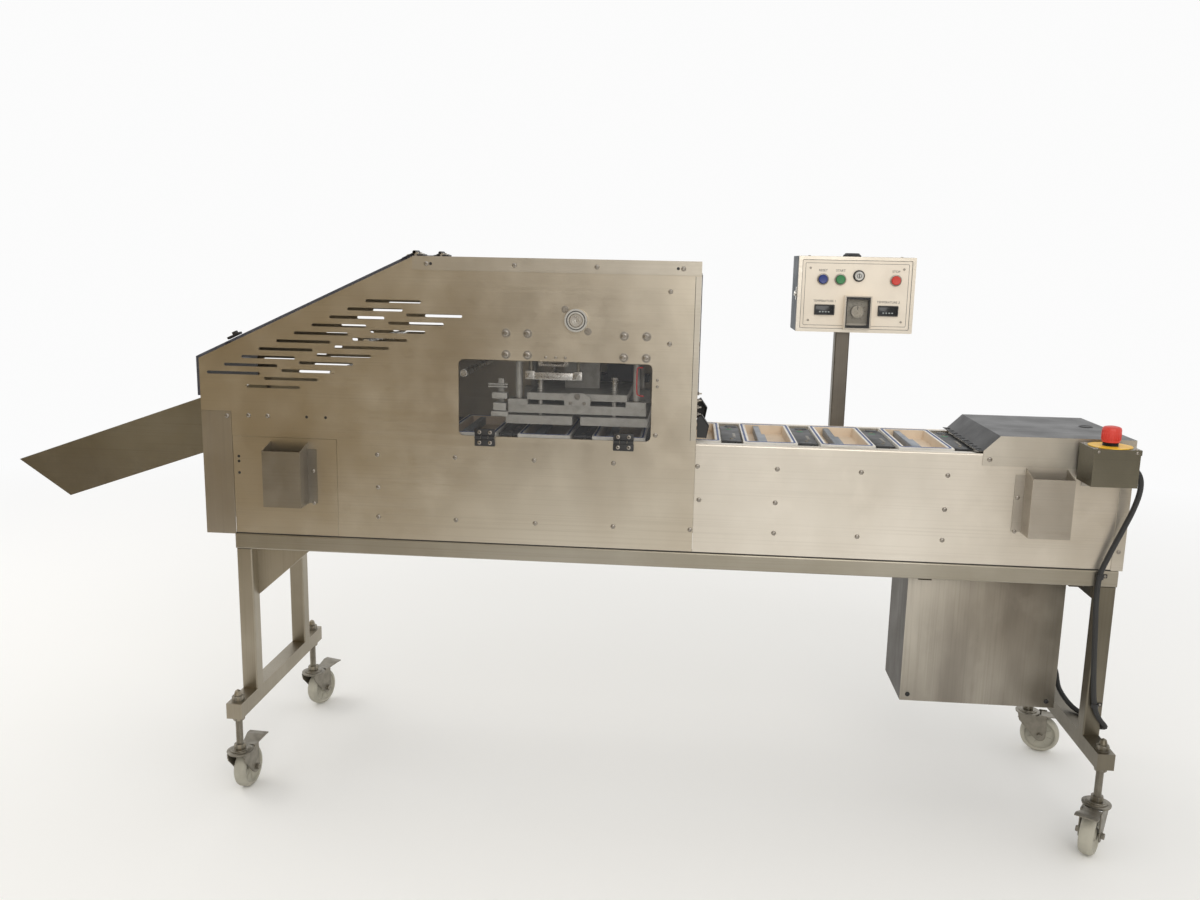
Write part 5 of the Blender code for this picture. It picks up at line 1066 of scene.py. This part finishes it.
def makeTimerFace(look):
    # square face with ticks, behind the clear cover
    plate = onFront(slab(0.056, 0.062, 0.0010, 0.002, 0.0004), onDoor(*look["timer"], 0.0004))
    makePiece("timerFace", [plate], "dialGrey", "control_door")
    points, faces = slab(0.0009, 0.0040, 0.0002, 0.0003, 0.00005)
    tick = (points + [0, 0.0215, 0], faces)
    ticks = [onFront(moved(tick, spin=math.radians(angle)), onDoor(*look["timer"], 0.0015))
             for angle in range(-150, 151, 30)]
    makePiece("timerTicks", ticks, "ink", "control_door")


def makeDoorFace(look):
    makePiece("doorRim", [doorFrame(0, look["inset"] - 0.0002, 0.004, 0.003, 0.0014)], "conveyorSteel",
              "control_door")
    lines = [doorFrame(inset, inset + thick, 0.003, 0.0025, 0.00022)
             for inset, thick in ((look["inset"] - 0.0002, 0.0011), (look["lineInset"], 0.0009))]
    for word, (x, z) in look["words"].items():
        size = look["shortWord"] if len(word) < 6 else look["longWord"]
        lines.append(lettering(word, size, onDoor(x, z, 0.0001)))
    makePiece("doorLettering", lines, "ink", "control_door")
    inset, outside = look["screwInset"], look["bezel"]
    bezel = lathe([(0.0119, 0), (outside, 0), (outside, 0.0030), (outside - 0.0008, 0.0042),
                   (0.0124, 0.0046), (0.0119, 0.0040)], 48, True)
    bright = [onFront(bezel, onDoor(x, z)) for x, z in look["buttons"]]
    bright += [onFront(screwHead(0.0030), onDoor(x, z)) for x in (inset, doorWidth - inset)
               for z in (inset, doorHeight - inset)]
    makePiece("doorBezels", bright, "zincScrew", "control_door")
    wide, high = look["displaySize"]
    glass, digits = [], []
    black = [onFront(bezel, onDoor(*look["key"]))]
    for x, z in look["displays"]:
        rim = border((wide, high, 0.002), (wide - 0.006, high - 0.006, 0.001), 0.0045)
        black.append(onFront(rim, onDoor(x, z)))
        glass.append(onFront(slab(wide - 0.0056, high - 0.0056, 0.0026, 0.001, 0.0003), onDoor(x, z)))
        for step in range(look["digits"]):
            place = onDoor(x - 0.0115 + step * look["digitStep"], z - 0.0055, 0.0024)
            digits.append(onFront(slab(0.0042, 0.0030, 0.0004, 0.0006, 0.0001), place))
    makePiece("displayGlass", glass, "display", "control_door")
    makePiece("displayKeys", digits, "digits", "control_door")
    housing = border((0.0615, 0.0795, 0.002), (0.0560, 0.0680, 0.002), 0.0240)
    black.append(onFront(housing, onDoor(*look["housing"], 0.0006)))
    makeTimerFace(look)
    makePiece("doorBlackParts", black, "black", "control_door")


def makeTimerDial():
    # dished dial and pointer on the knob
    dial = lathe([(0, 0.0030), (0.0040, 0.0030), (0.0048, 0.0016), (0.0110, 0.0010), (0.0118, 0.0022),
                  (0.0158, 0.0016), (0.0163, -0.0060), (0, -0.0060)], 48)
    place = frontCentre("timer_knob")
    makePiece("timerDial", [onFront(dial, place)], "dialGrey", "timer_knob")
    pointer = moved(slab(0.0014, 0.0100, 0.0008, 0.0006, 0.0002), (0, 0.0105, 0.0018))
    makePiece("timerPointer", [onFront(pointer, place)], "ink", "timer_knob")


def makeButtonCaps():
    # slightly dished lenses on the push buttons, and the key barrel with its slot
    cap = lathe([(0, 0.0006), (0.0070, 0.0009), (0.0096, 0.0012), (0.0108, 0.0006), (0.0113, -0.0008),
                 (0, -0.0010)], 40)
    for node, colour in (("reset_button", "blue"), ("start_button", "green"), ("stop_button", "red")):
        makePiece(node + "Cap", [onFront(cap, frontCentre(node))], colour, node)
    place, faceOut = frontCentre("key_switch"), 0.0008
    face = lathe([(0, faceOut), (0.0105, faceOut), (0.0112, 0.0002), (0.0112, -0.0010), (0, -0.0010)], 40)
    makePiece("keyFace", [onFront(face, place)], "keyNickel", "key_switch")
    slot = slab(0.0022, 0.0105, 0.0004, 0.0010, 0.0001)
    collar = lathe([(0.0050, 0), (0.0062, 0), (0.0062, 0.0005), (0.0050, 0.0005)], 32, True)
    place = place - [0, faceOut, 0]
    makePiece("keySlot", [onFront(slot, place), onFront(collar, place)], "black", "key_switch")


makeDoorFace(doorLook)
makeTimerDial()
makeButtonCaps()

boxFitLook = {"latchBack": 0.020, "plug": (0.150, 0.020), "screwBack": 0.030, "screwInset": 0.030}


def makeControlBoxFittings(look):
    latchPlace = Vector((boxLow.x, boxLow.y + look["latchBack"], boxMiddle.z))
    barrel = lathe([(0, 0), (0.0075, 0), (0.0075, 0.004), (0.006, 0.0055), (0, 0.0055)], 28)
    latch = [moved(slab(0.016, 0.034, 0.0016, 0.003, 0.0004), latchPlace, (-1, 0, 0), math.pi / 2),
             moved(barrel, latchPlace - Vector((0.001, 0, 0)), (-1, 0, 0))]
    makePiece("boxLatch", latch, "brightSteel")
    plug = lathe([(0, 0), (0.024, 0), (0.024, 0.004), (0.021, 0.0065), (0.018, 0.010), (0, 0.010)], 36)
    right, back = look["plug"]
    makePiece("boxTopPlug", [moved(plug, (boxLow.x + right, boxMiddle.y + back, boxHigh.z))], "black")
    inset = look["screwInset"]
    makePiece("boxScrews", [moved(screwHead(0.0042), (x, boxLow.y + look["screwBack"], boxHigh.z))
                            for x in (boxLow.x + inset, boxHigh.x - inset)], "zincScrew")
    seam = border((doorWidth + 0.0008, doorHeight + 0.0008, 0.004),
                  (doorWidth - 0.002, doorHeight - 0.002, 0.003), 0.0005)
    makePiece("boxGasket", [onFront(seam, (boxMiddle.x, boxLow.y + 0.0002, boxMiddle.z))], "rubber")


makeControlBoxFittings(boxFitLook)
print("controls made")

# Stop box, lead clips, cabinet, hood.

stopLook = {"boot": 0.0160, "bore": 0.0118, "bootHeight": 0.0076, "bootKeep": 0.2, "folds": 3, "fold": 0.0008,
            "ribs": 24, "ribRadius": 0.0192, "lidScrewInset": 0.008, "lidScrewRear": 0.078,
            "glandBack": 0.0085, "glandAbove": 0.240}


def makeStopButton(look):
    # folded rubber boot between the disc and the head
    discLow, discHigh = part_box("estop_plate")
    centre = Vector(((discLow.x + discHigh.x) / 2, (discLow.y + discHigh.y) / 2, discHigh.z))
    steps, high = 12 * look["folds"] + 1, look["bootHeight"]
    turns = np.linspace(0, look["folds"] * 2 * math.pi, steps)
    outside = zip(look["boot"] + look["fold"] * np.cos(turns), np.linspace(0.0002, high, steps))
    profile = [*outside, (look["bore"], high), (look["bore"], 0.0002)]
    boot = makePiece("stopBoot", [moved(lathe(profile, 48, True), centre)], "black")
    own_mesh(boot)
    # grip ribs round the head, each a slim upright bar, and its crown
    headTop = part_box("estop_button")[1].z
    parts = []
    for step in range(look["ribs"]):
        angle = step * 2 * math.pi / look["ribs"]
        place = (centre.x + look["ribRadius"] * math.cos(angle), centre.y + look["ribRadius"] * math.sin(angle),
                 headTop - 0.029)
        parts.append(moved(slab(0.0016, 0.0022, 0.017, 0.0006, 0.0005), place, spin=angle))
    crown = lathe([(0, 0.0006), (0.0100, 0.0004), (0.0150, -0.0008), (0.0172, -0.0020), (0.0172, -0.0030),
                   (0, -0.0030)], 48)
    parts.append(moved(crown, (centre.x, centre.y, headTop)))
    makePiece("stopGrip", parts, "red", "estop_button")


def makeStopBoxFittings(look):
    low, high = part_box("estop_box")
    inset, middle = look["lidScrewInset"], (low.x + high.x) / 2
    screws = [moved(screwHead(0.0034), (x, low.y, high.z - 0.006), forward)
              for x in (low.x + 0.010, high.x - 0.010)]
    screws += [moved(screwHead(0.0040), (x, y, high.z)) for x in (low.x + inset, high.x - inset)
               for y in (low.y + inset, low.y + look["lidScrewRear"])]
    makePiece("stopBoxScrews", screws, "zincScrew")
    # bracket plate under the box, with its slotted hole
    bracket = slab(0.056, 0.020, 0.0025, 0.001, 0.0004)
    makePiece("stopBracket", [onFront(bracket, (middle - 0.004, plateFront, low.z - 0.008))], "guardSteel")
    hole = slab(0.004, 0.009, 0.0003, 0.0018, 0.0001)
    makePiece("stopBracketSlot", [onFront(hole, (middle, plateFront - 0.0025, low.z - 0.009))], "black")
    gland = lathe([(0.0066, 0), (0.0100, 0), (0.0104, 0.0015), (0.0104, 0.0060), (0.0088, 0.0078),
                   (0.0080, 0.0130), (0.0066, 0.0140)], 24, True)
    place = (high.x + 0.0002, (low.y + high.y) / 2 - look["glandBack"], railTop + look["glandAbove"])
    makePiece("stopGland", [moved(gland, place, (1, 0, -0.12))], "black")


makeStopButton(stopLook)
makeStopBoxFittings(stopLook)

clipLook = {"places": ((2.019, -0.012), (2.039, -0.320)), "leadFront": -0.0085, "screwOut": 0.014}


def makeLeadClips(look):
    # ring round the lead with a foot screwed to the tube behind it
    ring = lathe([(0.0062, -0.005), (0.0080, -0.005), (0.0080, 0.005), (0.0062, 0.005)], 24, True)
    foot = slab(0.016, 0.009, 0.0016, 0.001, 0.0004)
    shapes, screws = [], []
    for x, above in look["places"]:
        place = spot(x, look["leadFront"], above)
        shapes += [moved(ring, place), onFront(foot, (place.x + 0.011, railLow.y, place.z))]
        screwPlace = (place.x + look["screwOut"], railLow.y - 0.0016, place.z)
        screws.append(moved(screwHead(0.0030), screwPlace, forward))
    makePiece("leadClips", shapes, "black")
    makePiece("leadClipScrews", screws, "zincScrew")


makeLeadClips(clipLook)

cabinetLook = {"front": 0.105, "cover": 0.0016, "wider": 0.001, "lower": 0.006, "screw": 0.0058,
               "screwInset": (0.018, 0.016)}


def makeCabinetFront(look):
    low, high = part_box("cabinet")
    faceY = railLow.y + look["front"]
    cover = slab(high.x - low.x + look["wider"], high.z - low.z - look["lower"], look["cover"], 0.002, 0.0006)
    place = ((low.x + high.x) / 2, faceY, (low.z + high.z) / 2 - look["lower"] / 2)
    makePiece("cabinetCover", [onFront(cover, place)], "cabinetSteel")
    side, up = look["screwInset"]
    screws = [onFront(screwHead(look["screw"]), (x, faceY - look["cover"], low.z + up))
              for x in (low.x + side, high.x - side)]
    makePiece("cabinetScrews", screws, "rubber")


makeCabinetFront(cabinetLook)

hoodLook = {"plug": (2.028, 0.191), "sides": 0.004, "step": 0.265, "bars": 9, "barInset": 0.020}


def makeHoodParts(look):
    low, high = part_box("end_cover")
    plug = lathe([(0, 0.0004), (0.0125, 0.0004), (0.0135, 0.0012), (0.0150, 0.0014), (0.0160, 0.0006),
                  (0.0160, -0.0004), (0, -0.0004)], 36)
    x, y, _ = spot(*look["plug"], 0)
    makePiece("hoodPlug", [moved(plug, (x, y, high.z))], "black")
    # wiper: dark strip on the hood's sloped edge over the packs, with a row of short bars
    left, front, rear = low.x, plateFront + look["sides"], plateRear - look["sides"]
    step, inset = railTop + look["step"], look["barInset"]
    profile = [(left + dx, step + dz) for dx, dz in ((0.004, -0.0015), (-0.012, -0.0005), (-0.0125, 0.0010),
                                                     (0.004, 0.0002))]
    parts = [prism(profile, front, rear)]
    bar = slab(0.009, 0.012, 0.0018, 0.001, 0.0004)
    parts += [moved(bar, (left - 0.0045, y, step + 0.0008))
              for y in np.linspace(front + inset, rear - inset, look["bars"])]
    makePiece("hoodWiper", parts, "linkBlack")
    deck = slab(0.050, rear - front - 0.030, 0.0016, 0.002, 0.0005)
    makePiece("hoodDeck", [moved(deck, (left + 0.026, (front + rear) / 2, step - 0.0015))], "linkBlack")


makeHoodParts(hoodLook)

flapLook = {"line": ((0.0020, 0.3180), (0.0120, 0.3240), (0.0290, 0.3000), (0.0240, 0.2720)), "sheet": 0.0018,
            "inset": 0.008, "width": 0.024, "seal": (0.0004, 0.372, 0.0022, 0.640),
            "sealDepth": (0.0135, 0.0165)}


def makeEntryFlap(look):
    # folded guide plates at the mouth of the head: foot, upright and a lip leaning out, and a web
    x, sheet, width = headHigh.x, look["sheet"], look["width"]
    front, rear = plateFront + look["inset"], plateRear - look["inset"]
    line = [(x + out, railTop + h) for out, h in look["line"]]
    outline = line + [(px - sheet, pz - sheet) for px, pz in reversed(line)]
    web = [(px - sheet / 2, pz - sheet / 2) for px, pz in line] + [(line[0][0], line[-1][1])]
    shapes = [prism(outline, front, front + width), prism(outline, rear - width, rear)]
    shapes += [prism(web, y, y + sheet) for y in (front, rear - sheet)]
    makePiece("entryFlap", shapes, "black")
    left, low, right, high = look["seal"]
    seal = prism(rectangle(x + left, railTop + low, x + right, railTop + high),
                 *(headLow.y + depth for depth in look["sealDepth"]))
    makePiece("entrySeal", [seal], "rubber")


makeEntryFlap(flapLook)

bendLook = {"radius": 0.0042, "lift": 0.0004, "sheet": 0.0012, "end": 0.0006}


def makeSideEdges(look):
    # bright rounded bend along the top of each conveyor side: quarter circle carried along x
    radius, end = look["radius"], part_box("end_cover")[0].x - look["end"]
    angle = np.linspace(0, math.pi / 2, 7)

    def arc(face, way, top, size, angles):
        return [(face + way * (radius - size * math.cos(a)), top - radius + size * math.sin(a)) for a in angles]

    for name, node, way in (("frontTopBend", "conveyor_side_front", 1),
                            ("rearTopBend", "conveyor_side_rear", -1)):
        low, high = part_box(node)
        face = low.y if way > 0 else high.y
        outline = arc(face, way, high.z, radius + look["lift"], angle)
        outline += arc(face, way, high.z, radius - look["sheet"], angle[::-1])
        makePiece(name, [prism(outline, low.x, end, "yz")], "conveyorSteel")


makeSideEdges(bendLook)


def makeRailCaps(thickness):
    # plates that close the open ends of the two rails
    shapes = []
    for node in ("rail_front", "rail_rear"):
        low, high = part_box(node)
        for x, way in ((low.x, -1), (high.x, 1)):
            cap = slab(tubeSide, tubeSide, thickness, 0.003, 0.0006)
            shapes.append(moved(cap, (x, (low.y + high.y) / 2, (low.z + high.z) / 2), (way, 0, 0)))
    makePiece("railCaps", shapes, "railSteel")


makeRailCaps(0.0016)
print("hood, stop box and cabinet dressed")

hoseLook = {"diameter": 0.0120,
            "route": [(1.440, 0.0080, 0.034), (1.470, 0.045, 0.026), (1.510, 0.095, 0.000),
                      (1.550, 0.135, -0.028), (1.590, 0.162, -0.050), (1.6235, 0.172, -0.060)]}


def makeHose(look):
    # conduit that hangs in one easy curve from the front side's inner face to the cabinet
    line = smoothLine([spot(*point) for point in look["route"]])
    hose = makePiece("cabinetHose", [pipe(line, look["diameter"] / 2, 14)], "rubber")


makeHose(hoseLook)

# Inside the head, seen through the window.

handleLook = {"ends": (0.711, 0.823), "back": 0.038, "above": 0.4025, "slotPlate": (0.765, 0.431)}


def makePressHandle(look):
    # handle bar between two blocks, each on a post, and a slotted plate above it
    barY, z = plateFront + look["back"], railTop + look["above"]
    left, right = (railLow.x + x for x in look["ends"])
    bar = slab(right - left - 0.016, 0.0175, 0.0120, 0.0030, 0.0012)
    chrome, posts = [onFront(bar, ((left + right) / 2, barY + 0.007, z - 0.002))], []
    for x in (left, right):
        chrome.append(onFront(slab(0.022, 0.020, 0.020, 0.002, 0.0010), (x, barY + 0.010, z)))
        chrome.append(moved(screwHead(0.0045), (x, barY - 0.010, z), forward))
        posts.append(moved(knuckle(0.004, 0.036), (x, barY + 0.010, z + 0.002)))
    slotX, slotAbove = look["slotPlate"]
    slotPlate = border((0.070, 0.016, 0.004), (0.050, 0.006, 0.0025), 0.006)
    chrome.append(onFront(slotPlate, onFace(slotX, barY + 0.004, slotAbove)))
    makePiece("pressHandle", chrome, "brightSteel")
    makePiece("pressHandlePosts", posts, "railSteel")


makePressHandle(handleLook)

pressLook = {"springs": (0.734, 0.908), "columns": (0.683, 0.959), "rows": (0.054, 0.291), "coil": 0.0080,
             "wire": 0.0011, "turns": 6, "coilLow": 0.3605, "coilHigh": 0.3935, "columnTop": 0.345,
             "plateX": 0.823, "plateFaces": (0.0345, 0.0392)}


def makePressFittings(look):
    # coil: circle about each stud that climbs evenly from its lower to its upper seat
    angle = np.linspace(0, look["turns"] * 2 * math.pi, 14 * look["turns"])
    rise = np.linspace(look["coilLow"], look["coilHigh"], len(angle))
    springs = []
    for x in look["springs"]:
        for y in look["rows"]:
            place = spot(x, y, 0)
            circle = look["coil"] * np.column_stack([np.cos(angle), np.sin(angle)]) + [place.x, place.y]
            springs.append(pipe(np.column_stack([circle, railTop + rise]), look["wire"], 7))
            springs.append(moved(hexagon(0.013, 0.006), spot(x, y, look["coilHigh"] + 0.0005)))
            springs.append(moved(knuckle(0.0048, 0.030), spot(x, y, look["coilLow"] + 0.0085)))
    makePiece("pressSprings", springs, "brightSteel", "press")
    middle, (near, far) = look["plateX"], look["plateFaces"]
    outline = [(railLow.x + middle + x, railTop + h) for x, h in
               ((-0.0300, 0.3325), (0.0300, 0.3325), (0.0315, 0.3520), (0.0150, 0.3625), (-0.0150, 0.3625),
                (-0.0315, 0.3520))]
    makePiece("followerPlate", [prism(outline, railLow.y + near, railLow.y + far)], "platenSteel", "press")
    bolts = [moved(washer(0.0130, 0.0016), spot(x, y, look["columnTop"])) for x in look["columns"]
             for y in look["rows"]]
    bolts.append(moved(hexagon(0.012, 0.006), spot(middle, near, 0.3545), forward))
    bolts += [moved(screwHead(0.0040), spot(middle + x, near, 0.3385), forward) for x in (-0.016, 0.016)]
    makePiece("pressBolts", bolts, "zincScrew", "press")


makePressFittings(pressLook)

filmLook = {
    "tensionerX": 0.640, "plates": ((0.309, 0.040, 0.012), (0.326, 0.030, 0.018), (0.352, 0.036, 0.014)),
    "pinX": 0.612, "pins": (0.372, 0.378), "rods": ((0.250, 0.395), (0.330, 0.470), (0.560, 0.405)),
    "wire": ((0.975, 0.020, 0.428), (0.968, 0.022, 0.428), (0.962, 0.024, 0.424), (0.961, 0.026, 0.395),
             (0.962, 0.026, 0.368), (0.968, 0.024, 0.363), (0.978, 0.020, 0.362)),
}


def makeFilmParts(look):
    # tensioner: stacked plates on an upright inside the front wall, with two long pins
    x = look["tensionerX"]
    fitting = [onFront(slab(wide, high, 0.024, 0.002, 0.0008), onFace(x, headLow.y + 0.060, h))
               for h, wide, high in look["plates"]]
    fitting += [moved(knuckle(0.0022, 0.046), onFace(look["pinX"], headLow.y + 0.046, h), (1, 0, 0))
                for h in look["pins"]]
    fitting.append(onFront(slab(0.014, 0.090, 0.008, 0.002, 0.0008), onFace(x, headLow.y + 0.068, 0.345)))
    makePiece("filmTensioner", fitting, "platenSteel")
    rod = knuckle(0.009, plateRear - headLow.y - 0.020)
    makePiece("filmRods", [moved(rod, onFace(x, headLow.y + 0.0135, h), backward) for x, h in look["rods"]],
              "brightSteel")
    wire = smoothLine([spot(*point) for point in look["wire"]])
    makePiece("heaterWire", [pipe(wire, 0.0016, 8)], "redWire")
    rearY = plateRear - 0.012
    blocks = [onFront(slab(0.085, 0.075, 0.070, 0.006, 0.002), onFace(0.915, rearY, 0.405)),
              onFront(slab(0.150, 0.020, 0.030, 0.003, 0.001), onFace(0.905, rearY, 0.372))]
    makePiece("heaterControlBlock", blocks, "linkBlack")


makeFilmParts(filmLook)
print("press dressed")
